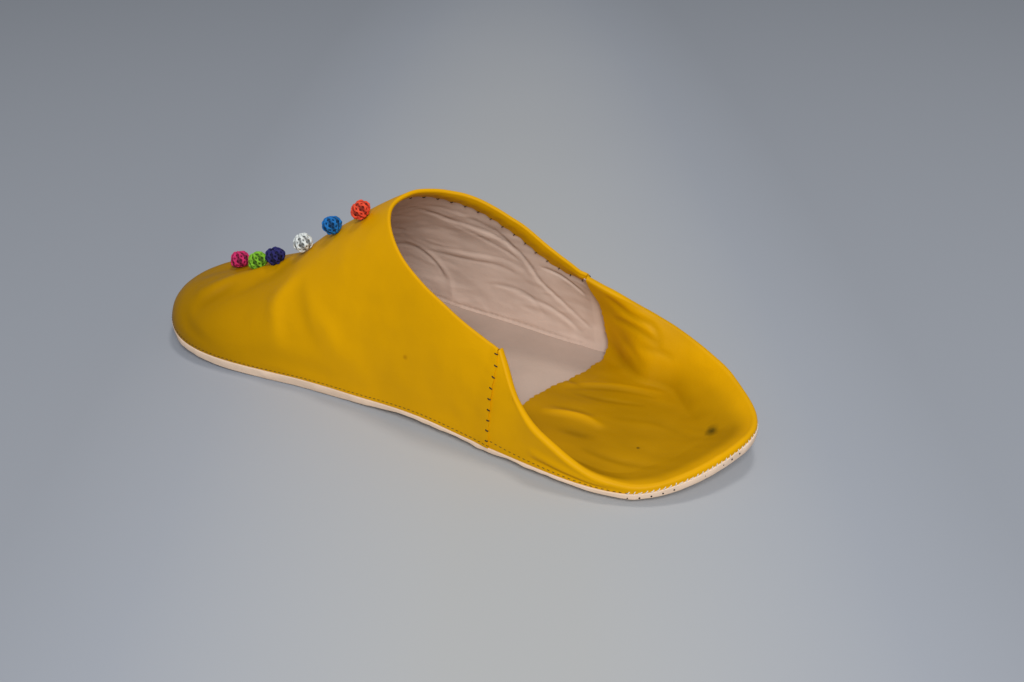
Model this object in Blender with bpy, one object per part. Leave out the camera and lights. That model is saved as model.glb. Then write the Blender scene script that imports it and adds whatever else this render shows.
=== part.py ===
"""Soft leather house slipper with a folded-down heel: one right shoe.

A thin sole with a turned-up edge carries an insole, a closed vamp over the toe and instep, and a heel
quarter whose top is folded inward and lies on the seat. Lengths are metres. Stations run along X from
the back of the heel to the toe, the foot's inner side is +Y and up is +Z.
"""
import math

import bmesh
import bpy
import numpy as np
from mathutils import Vector

# Driving sizes
LENGTH = 0.250
BALL_WIDTH = 0.084
HEEL_WIDTH = 0.080
INSTEP_HEIGHT = 0.066
TOE_SPRING = 0.0038
HEEL_LIFT = 0.0080
ARCH_LIFT = 0.0012
TIP_OFFSET = 0.0042

# Where the lifts and the change from heel to ball width begin and end, as shares of the length
TOE_LIFT_FROM = 0.72
HEEL_LIFT_TO = 0.12
ARCH_FROM = 0.34
ARCH_TO = 0.60
WIDTH_BLEND_FROM = 0.30
WIDTH_BLEND_TO = 0.60
TOE_ROUND_FROM = 0.90
TOE_LIFT_POWER = 1.6
HEEL_LIFT_POWER = 1.5

# Leather and the room left between pieces
VAMP_WALL = 0.0016
QUARTER_WALL = 0.0012
SOLE_THICKNESS = 0.0025
INSOLE_THICKNESS = 0.0012
CLEARANCE = 0.0003
LIP_ROUND = 0.4

# Turned-up edge of the sole
RIM_RISE = 0.0015
RIM_WALL = 0.0020
RIM_ROUND = 0.0004
TURN_WIDTH = 0.0050

# Where the upper is cut, and how far the collar's ends stand inside the outline there
INNER_SEAM_AT = 0.0845
OUTER_SEAM_AT = 0.0780
INNER_SEAM_LEAN = 0.0075
OUTER_SEAM_LEAN = 0.0099
THROAT_AT = 0.146
COLLAR_FOLLOWS_MIDDLE = 0.6

# Folded top of the quarter
ROLL_RADIUS = 0.0012
FOOT_RADIUS = 0.0040
CURVED_SHARE = 0.8
FLAP_MARGIN = 0.003
FLAP_SETBACK = 0.0060
FLAP_BULGE = 0.0035
SCALLOP_DEPTH = 0.0010
SCALLOPS = 4

# Thread knots on the vamp
KNOT_WIDTH = 0.0080
KNOT_FLATNESS = 0.80
KNOT_CLEARANCE = 0.0004

# Where the shoe rests, and where its origin is
HEEL_REST_SHARE = 0.20

# Half widths of the outline: station as a share of the length, the rest of the half width there
OUTLINE_COLUMNS = ("station", "inner", "outer")
OUTLINE = (
    (0.03, 0.56, 0.415),
    (0.12, 1.07, 0.875),
    (0.30, 1.04, 1.03),
    (0.50, 0.834, 1.075),
    (0.70, 0.783, 1.21),
    (0.85, 0.84, 0.90),
    (0.95, 0.638, 0.388),
)

# Crown of the vamp above the sole's rim, as a share of the instep height
CROWN_COLUMNS = ("station", "height")
CROWN = (
    (0.30, 0.82),
    (0.44, 1.20),
    (0.56, 1.04),
    (0.64, 0.86),
    (0.72, 0.66),
    (0.80, 0.425),
    (0.88, 0.34),
    (1.00, 0.25),
)

# Height of the band that the sole's edge shows, as a share of the rim's full height
BAND_COLUMNS = ("station", "height")
BAND = (
    (0.00, 0.95),
    (0.12, 0.60),
    (0.30, 0.40),
    (0.45, 0.45),
    (0.62, 0.90),
    (0.80, 0.98),
    (0.92, 0.75),
    (1.00, 0.55),
)

# Collar in plan between seams and throat: share of the throat's station, share of the ball's half width
COLLAR_COLUMNS = ("station", "half")
COLLAR = (
    (0.685, 0.770),
    (0.842, 0.648),
    (0.952, 0.386),
)

# Top fold of the quarter: station as a share of the seam's, heights and leans as shares of the seam's,
# and the slopes of the folded leather in degrees
FOLD_COLUMNS = ("station", "inner_height", "outer_height", "inner_lean", "outer_lean",
                "inner_slope", "outer_slope")
FOLD = (
    (0.00, 0.070, 0.070, 0.00, 0.00, 7.0, 7.0),
    (0.24, 0.085, 0.35, 0.20, 0.10, 12.0, 50.0),
    (0.48, 0.110, 0.53, -0.10, 0.20, 35.0, 60.0),
    (0.74, 0.38, 0.75, -0.10, 0.50, 60.0, 68.0),
    (0.88, 0.60, 0.87, 0.35, 0.76, 72.0, 78.0),
    (1.00, 1.00, 1.00, 1.00, 1.00, 84.0, 87.0),
)

# Soft folds of the vamp: ends as shares of the length and the ball's half width, widths and heights
# as multiples of FOLD_DEPTH
FOLD_DEPTH = 0.0020
CREASE_COLUMNS = ("from_station", "from_side", "to_station", "to_side", "width", "height")
CREASES = (
    (0.90, 0.50, 0.78, 0.00, 2.0, 0.8),
    (0.90, 0.72, 0.82, 0.30, 2.0, -0.6),
    (0.93, 0.15, 0.86, -0.10, 3.5, -0.9),
)

# Thread knots: station as a share of the way from throat to toe, side as a share of the ball's half width
KNOT_COLUMNS = ("name", "station", "side", "colour")
KNOTS = (
    ("button_1", 0.731, -0.04, (0.55, 0.02, 0.16, 1.0)),
    ("button_2", 0.599, 0.08, (0.13, 0.42, 0.03, 1.0)),
    ("button_3", 0.505, 0.06, (0.03, 0.03, 0.20, 1.0)),
    ("button_4", 0.356, 0.06, (0.55, 0.58, 0.52, 1.0)),
    ("button_5", 0.233, 0.01, (0.01, 0.18, 0.50, 1.0)),
    ("button_6", 0.101, 0.00, (0.70, 0.07, 0.02, 1.0)),
)

# Fineness of the surfaces
OUTLINE_HALF_STEPS = 46
VAMP_ROUND_STEPS = 60
VAMP_RISE_STEPS = 14
QUARTER_ROUND_STEPS = 50
WALL_STEPS = 5
ARC_STEPS = 4
SLOPE_STEPS = 3
SEAT_STEPS = 5
SPAN_STEPS = 40
KNOT_ROUND_STEPS = 12
KNOT_RISE_STEPS = 8
TANGENT_STEP = 0.002
SHARP_DEGREES = 50


def column(table, columns, name):
    """One named column of a table."""
    return np.array([row[columns.index(name)] for row in table])


def smooth(knots, values, at):
    """Smooth curve through a table's rows, which never overshoots them."""
    step = np.diff(knots)
    slope = np.diff(values) / step
    tangent = np.zeros(len(knots))
    for i in range(1, len(knots) - 1):
        if slope[i - 1] * slope[i] > 0:
            tangent[i] = 2 * slope[i - 1] * slope[i] / (slope[i - 1] + slope[i])
    tangent[0], tangent[-1] = slope[0], slope[-1]
    at = np.clip(at, knots[0], knots[-1])
    i = np.clip(np.searchsorted(knots, at, side="right") - 1, 0, len(step) - 1)
    t = (at - knots[i]) / step[i]
    return ((1 + 2 * t) * (1 - t) ** 2 * values[i] + t * (1 - t) ** 2 * step[i] * tangent[i]
            + t * t * (3 - 2 * t) * values[i + 1] + t * t * (t - 1) * step[i] * tangent[i + 1])


def spline(points, closed):
    """Cubic curve through plan points, SPAN_STEPS to a span, and the index of each point on it."""
    points = np.asarray(points, float)
    if closed:
        points = np.vstack([points, points[:1]])
    count = len(points)
    step = np.linalg.norm(np.diff(points, axis=0), axis=1) ** 0.5
    slope = np.diff(points, axis=0) / step[:, None]
    matrix = np.eye(count)
    right = np.zeros((count, 2))
    for i in range(1, count - 1):
        matrix[i, i - 1:i + 2] = step[i - 1], 2 * (step[i - 1] + step[i]), step[i]
        right[i] = 6 * (slope[i] - slope[i - 1])
    if closed:
        matrix[0, :2] = 2 * (step[-1] + step[0]), step[0]
        matrix[0, -2] = step[-1]
        right[0] = 6 * (slope[0] - slope[-1])
        matrix[-1, 0], matrix[-1, -1] = 1, -1
    bend = np.linalg.solve(matrix, right)
    parts = []
    for i in range(count - 1):
        t = np.linspace(0, step[i], SPAN_STEPS, endpoint=False)[:, None]
        start = slope[i] - step[i] * (2 * bend[i] + bend[i + 1]) / 6
        change = (bend[i + 1] - bend[i]) / (6 * step[i])
        parts.append(points[i] + t * start + t ** 2 * bend[i] / 2 + t ** 3 * change)
    return np.vstack(parts + [points[-1:]])


def along(curve, shares):
    """Points of a curve at shares of its length."""
    length = np.r_[0, np.cumsum(np.linalg.norm(np.diff(curve, axis=0), axis=1))]
    at = np.asarray(shares) * length[-1]
    return np.stack([np.interp(at, length, curve[:, k]) for k in range(curve.shape[1])], -1)


def half_size(station):
    """Half width that the outline's shares follow, from the heel's to the ball's."""
    blend = (station / LENGTH - WIDTH_BLEND_FROM) / (WIDTH_BLEND_TO - WIDTH_BLEND_FROM)
    blend = np.clip(blend, 0, 1)
    return 0.5 * (HEEL_WIDTH + (BALL_WIDTH - HEEL_WIDTH) * blend * blend * (3 - 2 * blend))


def make_outline():
    """Closed outline from the heel round the inner side to the toe and back round the outer side."""
    stations = column(OUTLINE, OUTLINE_COLUMNS, "station") * LENGTH
    half = half_size(stations)
    inner = np.column_stack([stations, column(OUTLINE, OUTLINE_COLUMNS, "inner") * half])
    outer = np.column_stack([stations, -column(OUTLINE, OUTLINE_COLUMNS, "outer") * half])
    heel, toe = np.array([[0.0, 0.0]]), np.array([[LENGTH, TIP_OFFSET]])
    return spline(np.vstack([heel, inner, toe, outer[::-1]]), closed=True)


OUTLINE_CURVE = make_outline()
TOE_INDEX = (len(OUTLINE) + 1) * SPAN_STEPS


def widths(station):
    """Half widths of the inner and outer side at a station."""
    inner = OUTLINE_CURVE[:TOE_INDEX + 1]
    outer = OUTLINE_CURVE[:TOE_INDEX - 1:-1]
    return (np.interp(station, np.maximum.accumulate(inner[:, 0]), inner[:, 1]),
            -np.interp(station, np.maximum.accumulate(outer[:, 0]), outer[:, 1]))


def ground(station):
    """Height of the sole's underside: flat at heel and forefoot, lifted at both ends and in the arch."""
    share = station / LENGTH
    toe = TOE_SPRING * np.clip((share - TOE_LIFT_FROM) / (1 - TOE_LIFT_FROM), 0, 1) ** TOE_LIFT_POWER
    heel = HEEL_LIFT * np.clip(1 - share / HEEL_LIFT_TO, 0, 1) ** HEEL_LIFT_POWER
    arch = ARCH_LIFT * np.sin(math.pi * np.clip((share - ARCH_FROM) / (ARCH_TO - ARCH_FROM), 0, 1)) ** 2
    return toe + heel + arch


def rim(station):
    """Height of the top of the sole's turned-up edge."""
    return ground(station) + SOLE_THICKNESS + RIM_RISE


def crown(station):
    """Height of the vamp's middle above the rim."""
    share = station / LENGTH
    height = INSTEP_HEIGHT * smooth(column(CROWN, CROWN_COLUMNS, "station"),
                                    column(CROWN, CROWN_COLUMNS, "height"), share)
    toe = np.clip((share - TOE_ROUND_FROM) / (1 - TOE_ROUND_FROM), 0, 1)
    return height * np.sqrt(1 - toe ** 2)


def creases(station, side):
    """Soft troughs and ridges of the vamp."""
    total = 0.0
    half = BALL_WIDTH / 2
    for row in CREASES:
        fold = dict(zip(CREASE_COLUMNS, row))
        start = np.array([fold["from_station"] * LENGTH, fold["from_side"] * half])
        run = np.array([fold["to_station"] * LENGTH, fold["to_side"] * half]) - start
        share = ((station - start[0]) * run[0] + (side - start[1]) * run[1]) / (run @ run)
        near = np.clip(share, 0, 1)
        off = np.hypot(station - start[0] - near * run[0], side - start[1] - near * run[1])
        width = fold["width"] * FOLD_DEPTH
        total = total + fold["height"] * FOLD_DEPTH * np.exp(-(off / width) ** 2)
    return total


def dome(station, side):
    """Height of the vamp's outer face above the floor."""
    inner, outer = widths(station)
    half = np.maximum(0.5 * (inner + outer), 1e-5)
    share = np.clip(np.abs(side - 0.5 * (inner - outer)) / half, 0, 1)
    rise = np.sqrt(1 - share ** 2)
    return rim(station) + CLEARANCE + rise * (crown(station) + creases(station, side))


def outline_share(station, outer):
    """Share of the outline's length at which one side reaches a station."""
    length = np.r_[0, np.cumsum(np.linalg.norm(np.diff(OUTLINE_CURVE, axis=0), axis=1))]
    part = slice(TOE_INDEX, None) if outer else slice(0, TOE_INDEX + 1)
    stations, lengths = OUTLINE_CURVE[part, 0], length[part]
    if outer:
        stations, lengths = stations[::-1], lengths[::-1]
    return np.interp(station, np.maximum.accumulate(stations), lengths) / length[-1]


def feather(shares):
    """Points of the outline and the plan directions inward from them."""
    shares = np.asarray(shares)
    points = along(OUTLINE_CURVE, shares % 1.0)
    ahead = along(OUTLINE_CURVE, (shares + TANGENT_STEP) % 1.0)
    behind = along(OUTLINE_CURVE, (shares - TANGENT_STEP) % 1.0)
    run = ahead - behind
    run /= np.linalg.norm(run, axis=1)[:, None]
    return points, np.column_stack([run[:, 1], -run[:, 0]])


def inset(shares, distance):
    """Plan points a distance inside the outline."""
    points, inward = feather(shares)
    return points + inward * distance


def loop_shares():
    """Shares round the outline with as many steps on the inner side as on the outer."""
    toe = outline_share(LENGTH, outer=False)
    there = np.linspace(0, toe, OUTLINE_HALF_STEPS + 1)
    back = np.linspace(toe, 1, OUTLINE_HALF_STEPS + 1)
    return np.r_[there, back[1:-1]]


def grid_normals(grid):
    """Unit normals of a grid of points, pointing out of the shoe."""
    normal = np.cross(np.gradient(grid, axis=1), np.gradient(grid, axis=0))
    return normal / np.linalg.norm(normal, axis=2)[..., None]


def on_rim(points):
    """Plan points set just above the sole's edge."""
    return np.column_stack([points, rim(points[:, 0]) + CLEARANCE])


def seam(outer):
    """Station, lean and height of the collar's end above the rim at one side seam."""
    station = OUTER_SEAM_AT if outer else INNER_SEAM_AT
    lean = OUTER_SEAM_LEAN if outer else INNER_SEAM_LEAN
    half = 0.5 * sum(widths(station))
    return station, lean, crown(station) * math.sqrt(1 - (1 - lean / half) ** 2)


def collar_curve(start, end):
    """Plan curve of the collar from the inner seam round the throat to the outer seam."""
    stations = column(COLLAR, COLLAR_COLUMNS, "station") * THROAT_AT
    halves = column(COLLAR, COLLAR_COLUMNS, "half") * BALL_WIDTH / 2

    def middle(station):
        inner, outer = widths(station)
        return COLLAR_FOLLOWS_MIDDLE * 0.5 * (inner - outer)

    there = np.column_stack([stations, middle(stations) + halves])
    back = np.column_stack([stations, middle(stations) - halves])[::-1]
    throat = np.array([[THROAT_AT, middle(THROAT_AT)]])
    return spline(np.vstack([start, there, throat, back, end]), closed=False)


def vamp_grid():
    """Outer face of the vamp: straight plan lines from the outline up to the collar."""
    first = outline_share(INNER_SEAM_AT + CLEARANCE / 2, outer=False)
    last = outline_share(OUTER_SEAM_AT + CLEARANCE / 2, outer=True)
    shares = np.linspace(first, last, VAMP_ROUND_STEPS + 1)
    foot, inward = feather(shares)
    start = foot[:1] + inward[:1] * INNER_SEAM_LEAN
    end = foot[-1:] + inward[-1:] * OUTER_SEAM_LEAN
    top = along(collar_curve(start, end), np.linspace(0, 1, VAMP_ROUND_STEPS + 1))
    rise = 1 - np.cos(np.linspace(0, math.pi / 2, VAMP_RISE_STEPS + 1))
    plan = foot[:, None] + (top - foot)[:, None] * rise[None, :, None]
    height = dome(plan[..., 0], plan[..., 1])
    return np.concatenate([plan, height[..., None]], -1), foot, inward


def make_vamp():
    """Hollow vamp with a rounded collar edge."""
    outer, foot, inward = vamp_grid()
    inner = outer - grid_normals(outer) * VAMP_WALL
    outer[:, 0] = on_rim(foot)
    inner[:, 0] = on_rim(foot + inward * VAMP_WALL)
    edge = outer[:, -1] - outer[:, -2]
    edge /= np.linalg.norm(edge, axis=1)[:, None]
    lip = 0.5 * (outer[:, -1] + inner[:, -1]) + edge * VAMP_WALL * LIP_ROUND
    return shell("upper_vamp", outer, inner, lip)


def fold_rows(shares, foot):
    """Height, lean, slope and bulge of the quarter's top fold at each place round the heel."""
    stations = column(FOLD, FOLD_COLUMNS, "station")
    rows = []
    for share, station in zip(shares, foot[:, 0]):
        outer = share < 0
        side = "outer" if outer else "inner"
        seam_at, seam_lean, seam_height = seam(outer)
        at = max(station, 0.0) / seam_at
        height = smooth(stations, column(FOLD, FOLD_COLUMNS, side + "_height"), at) * seam_height
        lean = smooth(stations, column(FOLD, FOLD_COLUMNS, side + "_lean"), at) * seam_lean
        slope = math.radians(smooth(stations, column(FOLD, FOLD_COLUMNS, side + "_slope"), at))
        rows.append((height, lean, slope, seam_height / crown(seam_at)))
    return rows


def fold_path(height, lean, slope, bulge):
    """Wall, rolled fold and slope down to the seat: distances inward and heights above the ground line."""
    base = SOLE_THICKNESS + RIM_RISE + CLEARANCE
    seat = SOLE_THICKNESS + INSOLE_THICKNESS + 2 * CLEARANCE + QUARTER_WALL / 2
    shares = np.linspace(0, (height - ROLL_RADIUS) / height, WALL_STEPS + 1)
    lift = 1 - math.sqrt(1 - bulge ** 2)
    path = [(QUARTER_WALL / 2 + lean * (1 - math.sqrt(1 - (bulge * s) ** 2)) / lift, base + s * height)
            for s in shares]
    drop = base + height - seat
    radii = ROLL_RADIUS + FOOT_RADIUS
    slope = min(slope, math.acos(max(-1.0, 1 - CURVED_SHARE * drop / radii)))
    centre, middle = path[-1][0] + ROLL_RADIUS, path[-1][1]
    for angle in np.linspace(math.pi, math.pi / 2 - slope, 2 * ARC_STEPS + 1)[1:]:
        path.append((centre + ROLL_RADIUS * math.cos(angle), middle + ROLL_RADIUS * math.sin(angle)))
    straight = (drop - radii * (1 - math.cos(slope))) / math.sin(slope)
    inward, level = path[-1]
    for run in np.linspace(0, straight, SLOPE_STEPS + 1)[1:]:
        path.append((inward + run * math.cos(slope), level - run * math.sin(slope)))
    inward, level = path[-1]
    for angle in np.linspace(slope, 0, ARC_STEPS + 1)[1:]:
        path.append((inward + FOOT_RADIUS * (math.sin(slope) - math.sin(angle)),
                     level - FOOT_RADIUS * (math.cos(angle) - math.cos(slope))))
    return np.array(path)


def quarter_grid():
    """Middle of the quarter's leather: wall, roll, slope and the flap with its scalloped edge."""
    first = outline_share(OUTER_SEAM_AT - CLEARANCE, outer=True) - 1
    last = outline_share(INNER_SEAM_AT - CLEARANCE, outer=False)
    shares = np.linspace(first, last, QUARTER_ROUND_STEPS + 1)
    foot, inward = feather(shares)
    paths = np.array([fold_path(*row) for row in fold_rows(shares, foot)])
    plan = foot[:, None] + inward[:, None] * paths[..., :1]
    toe_of_slope = plan[:, -1]
    across = (shares - shares[0]) / (shares[-1] - shares[0])
    start = toe_of_slope[0] + inward[0] * FLAP_MARGIN
    end = toe_of_slope[-1] + inward[-1] * FLAP_MARGIN
    edge = start + (end - start) * across[:, None]
    edge[:, 0] += FLAP_BULGE * np.sin(math.pi * across) - FLAP_SETBACK * (1 - across) ** 2
    edge[:, 0] -= SCALLOP_DEPTH * np.sin(math.pi * SCALLOPS * across) ** 2
    reach = np.linspace(0, 1, SEAT_STEPS + 1)[1:]
    flap = toe_of_slope[:, None] + (edge - toe_of_slope)[:, None] * reach[None, :, None]
    plan = np.concatenate([plan, flap], 1)
    level = np.concatenate([paths[..., 1], np.repeat(paths[:, -1:, 1], SEAT_STEPS, 1)], 1)
    height = ground(plan[..., 0]) + level
    return np.concatenate([plan, height[..., None]], -1), foot, inward


def make_quarter():
    """Folded quarter, one sheet of leather from the sole's edge to the flap's scalloped front."""
    middle, foot, inward = quarter_grid()
    normal = grid_normals(middle)
    outer = middle + normal * QUARTER_WALL / 2
    inner = middle - normal * QUARTER_WALL / 2
    outer[:, 0] = on_rim(foot)
    inner[:, 0] = on_rim(foot + inward * QUARTER_WALL)
    return shell("upper_quarter", outer, inner)


def shell(name, outer, inner, lip=None):
    """Closed wall between two grids of points, with an extra row along the last edge where one is given."""
    mesh = bmesh.new()
    sheets = [[[mesh.verts.new(point) for point in row] for row in grid] for grid in (outer, inner)]
    count, rise = outer.shape[:2]
    for sheet in sheets:
        for i in range(count - 1):
            for j in range(rise - 1):
                mesh.faces.new((sheet[i][j], sheet[i + 1][j], sheet[i + 1][j + 1], sheet[i][j + 1]))
    lips = [mesh.verts.new(point) for point in lip] if lip is not None else None
    for i in range(count - 1):
        bottom = [sheet[k][0] for sheet in sheets for k in (i, i + 1)]
        mesh.faces.new((bottom[0], bottom[1], bottom[3], bottom[2]))
        top = [sheet[k][-1] for sheet in sheets for k in (i, i + 1)]
        if lips:
            mesh.faces.new((top[0], top[1], lips[i + 1], lips[i]))
            mesh.faces.new((lips[i], lips[i + 1], top[3], top[2]))
        else:
            mesh.faces.new((top[0], top[1], top[3], top[2]))
    for i in (0, count - 1):
        for j in range(rise - 1):
            mesh.faces.new((sheets[0][i][j], sheets[0][i][j + 1], sheets[1][i][j + 1], sheets[1][i][j]))
        if lips:
            mesh.faces.new((sheets[0][i][-1], lips[i], sheets[1][i][-1]))
    return finish(name, mesh)


def stack(name, loops):
    """Closed solid through loops round the outline, capped by rungs from side to side."""
    mesh = bmesh.new()
    rows = [[mesh.verts.new(point) for point in loop] for loop in loops]
    count = len(rows[0])
    for lower, upper in zip(rows, rows[1:]):
        for i in range(count):
            after = (i + 1) % count
            mesh.faces.new((lower[i], lower[after], upper[after], upper[i]))
    for row in (rows[0], rows[-1]):
        half = count // 2
        for i in range(half):
            corners = [row[i], row[i + 1], row[(count - i - 1) % count], row[(count - i) % count]]
            mesh.faces.new(list(dict.fromkeys(corners)))
    return finish(name, mesh)


def finish(name, mesh):
    """Object of a mesh with its faces out and its round stretches smooth."""
    bmesh.ops.recalc_face_normals(mesh, faces=mesh.faces)
    bmesh.ops.triangulate(mesh, faces=mesh.faces)
    data = bpy.data.meshes.new(name)
    mesh.to_mesh(data)
    mesh.free()
    data.shade_smooth()
    data.set_sharp_from_angle(angle=math.radians(SHARP_DEGREES))
    made = bpy.data.objects.new(name, data)
    bpy.context.collection.objects.link(made)
    return made


def make_outsole():
    """Sole with a turned-up edge, drawn from its floor inside, over the edge, to its underside."""
    shares = loop_shares()
    station = feather(shares)[0][:, 0] / LENGTH
    full = SOLE_THICKNESS + RIM_RISE
    heights = column(BAND, BAND_COLUMNS, "height")
    tuck = full * (1 - smooth(column(BAND, BAND_COLUMNS, "station"), heights, station))
    sections = (
        (RIM_WALL, SOLE_THICKNESS),
        (RIM_WALL, full),
        (RIM_ROUND, full),
        (0.0, full - RIM_ROUND),
        (0.0, tuck + RIM_ROUND),
        (RIM_ROUND, tuck),
        (TURN_WIDTH / 2, tuck / 4),
        (TURN_WIDTH, 0.0),
    )
    loops = []
    for distance, height in sections:
        plan = inset(shares, distance)
        loops.append(np.column_stack([plan, ground(plan[:, 0]) + height]))
    return stack("outsole", loops)


def make_insole():
    """Insole lying in the sole's turned-up edge."""
    shares = loop_shares()
    plan = inset(shares, RIM_WALL + CLEARANCE)
    floor = ground(plan[:, 0]) + SOLE_THICKNESS + CLEARANCE
    levels = (floor, floor + INSOLE_THICKNESS)
    return stack("insole", [np.column_stack([plan, level]) for level in levels])


def make_knot(name, station, side):
    """Thread knot seated on the vamp, square to its surface."""
    step = KNOT_WIDTH / KNOT_RISE_STEPS
    along_x = (dome(station + step, side) - dome(station - step, side)) / (2 * step)
    along_y = (dome(station, side + step) - dome(station, side - step)) / (2 * step)
    normal = Vector((-along_x, -along_y, 1.0)).normalized()
    mesh = bmesh.new()
    bmesh.ops.create_uvsphere(mesh, u_segments=KNOT_ROUND_STEPS, v_segments=KNOT_RISE_STEPS,
                              radius=KNOT_WIDTH / 2)
    bmesh.ops.scale(mesh, verts=mesh.verts, vec=(1.0, 1.0, KNOT_FLATNESS))
    made = finish(name, mesh)
    rise = KNOT_WIDTH / 2 * KNOT_FLATNESS + KNOT_CLEARANCE
    made.location = Vector((station, side, dome(station, side))) + normal * rise
    made.rotation_euler = normal.to_track_quat("Z", "Y").to_euler()
    return made


def paint(made, name, colour, roughness):
    """Give an object its own material."""
    material = bpy.data.materials.new(name)
    material.use_nodes = True
    shader = material.node_tree.nodes["Principled BSDF"]
    shader.inputs["Base Color"].default_value = colour
    shader.inputs["Roughness"].default_value = roughness
    shader.inputs["Metallic"].default_value = 0.0
    made.data.materials.append(material)


def main():
    """Model the slipper with its origin on the floor under the heel."""
    for old in list(bpy.data.objects):
        bpy.data.objects.remove(old, do_unlink=True)
    slipper = bpy.data.objects.new("slipper", None)
    bpy.context.collection.objects.link(slipper)
    slipper.location = (-HEEL_REST_SHARE * LENGTH, 0.0, 0.0)

    cream, yellow = (0.55, 0.46, 0.40, 1.0), (0.60, 0.33, 0.002, 1.0)
    pieces = [
        (make_outsole(), "sole_leather", cream, 0.7),
        (make_insole(), "insole_leather", cream, 0.75),
        (make_vamp(), "vamp_leather", yellow, 0.42),
        (make_quarter(), "quarter_leather", yellow, 0.42),
    ]
    for row in KNOTS:
        knot = dict(zip(KNOT_COLUMNS, row))
        station = THROAT_AT + knot["station"] * (LENGTH - THROAT_AT)
        made = make_knot(knot["name"], station, knot["side"] * BALL_WIDTH / 2)
        pieces.append((made, knot["name"] + "_thread", knot["colour"], 0.9))
    for made, name, colour, roughness in pieces:
        paint(made, name, colour, roughness)
        made.parent = slipper


main()
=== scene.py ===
"""Soft leather house slipper with a folded-down heel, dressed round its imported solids.

Run as a script. Each piece or group of like pieces has its own operator, the panel in the 3D view's
sidebar lists them, and the scene's settings hold the sizes and colours that a user would change.
Lengths are metres. A station is the distance from the back of the heel towards the toe, a side is the
distance from the middle line towards the foot's inner side, and up is +Z.
"""

import math

import bmesh
import bpy
import numpy as np
from bpy.props import FloatProperty, FloatVectorProperty, IntProperty, PointerProperty
from mathutils import Matrix, Vector, noise


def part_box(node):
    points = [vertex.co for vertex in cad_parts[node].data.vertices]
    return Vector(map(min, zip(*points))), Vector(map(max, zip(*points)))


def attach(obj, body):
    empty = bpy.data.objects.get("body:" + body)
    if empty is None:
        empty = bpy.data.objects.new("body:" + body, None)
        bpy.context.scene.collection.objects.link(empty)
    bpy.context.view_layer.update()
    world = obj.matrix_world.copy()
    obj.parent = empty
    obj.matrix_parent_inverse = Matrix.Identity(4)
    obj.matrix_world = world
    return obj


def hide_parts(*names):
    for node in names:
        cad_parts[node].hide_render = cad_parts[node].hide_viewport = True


bl_info = {
    "name": "Folded-heel slipper",
    "version": (1, 0, 0),
    "blender": (4, 5, 0),
    "location": "View3D > Sidebar > Slipper",
    "description": "Leather, lining, stitches and thread knots of a soft slipper, with its studio",
    "category": "Object",
}

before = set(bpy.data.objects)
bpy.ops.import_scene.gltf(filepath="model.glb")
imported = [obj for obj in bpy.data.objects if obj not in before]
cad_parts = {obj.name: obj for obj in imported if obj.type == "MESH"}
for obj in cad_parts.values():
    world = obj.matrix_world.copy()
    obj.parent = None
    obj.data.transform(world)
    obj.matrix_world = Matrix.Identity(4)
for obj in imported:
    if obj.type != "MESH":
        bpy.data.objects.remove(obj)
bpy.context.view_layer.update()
SOLE_LOW, SOLE_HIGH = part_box("outsole")

# Driving sizes of the solids, which the leather follows
LENGTH = SOLE_HIGH.x - SOLE_LOW.x
HEEL_BACK = SOLE_LOW.x
BALL_WIDTH = 0.084
HEEL_WIDTH = 0.080
INSTEP_HEIGHT = 0.066
TOE_SPRING = 0.0038
HEEL_LIFT = 0.0080
ARCH_LIFT = 0.0012
TIP_OFFSET = 0.0042
SOLE_THICKNESS = 0.0025
INSOLE_THICKNESS = 0.0012
RIM_RISE = 0.0015
RIM_WALL = 0.0020
TURN_WIDTH = 0.0050
CLEARANCE = 0.0003
QUARTER_WALL = 0.0012
INNER_SEAM_AT = 0.0845
OUTER_SEAM_AT = 0.0780
INNER_SEAM_LEAN = 0.0075
OUTER_SEAM_LEAN = 0.0099
THROAT_AT = 0.146
COLLAR_FOLLOWS_MIDDLE = 0.6
FOOT_RADIUS = 0.0040
CURVED_SHARE = 0.8
FLAP_MARGIN = 0.003
FOLD_DEPTH = 0.0020

# Where lifts, width and toe change, as shares of the length
TOE_LIFT_FROM, TOE_LIFT_POWER = 0.72, 1.6
HEEL_LIFT_TO, HEEL_LIFT_POWER = 0.12, 1.5
ARCH_FROM, ARCH_TO = 0.34, 0.60
WIDTH_BLEND_FROM, WIDTH_BLEND_TO = 0.30, 0.60
TOE_ROUND_FROM = 0.90

# Outline: station as a share of the length, inner and outer side as shares of the half width there
OUTLINE = (
    (0.03, 0.56, 0.415),
    (0.12, 1.07, 0.875),
    (0.30, 1.04, 1.03),
    (0.50, 0.834, 1.075),
    (0.70, 0.783, 1.21),
    (0.85, 0.84, 0.90),
    (0.95, 0.638, 0.388),
)

# Crown of the vamp: station as a share of the length, height as a share of the instep's
CROWN = (
    (0.30, 0.82),
    (0.44, 1.20),
    (0.56, 1.04),
    (0.64, 0.86),
    (0.72, 0.66),
    (0.80, 0.425),
    (0.88, 0.34),
    (1.00, 0.25),
)

# Band that the sole's edge shows: station as a share of the length, height as a share of the edge's
BAND = (
    (0.00, 0.95),
    (0.12, 0.60),
    (0.30, 0.40),
    (0.45, 0.45),
    (0.62, 0.90),
    (0.80, 0.98),
    (0.92, 0.75),
    (1.00, 0.55),
)

# Collar: station as a share of the throat's, half width as a share of the ball's
COLLAR = (
    (0.685, 0.770),
    (0.842, 0.648),
    (0.952, 0.386),
)

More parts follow.
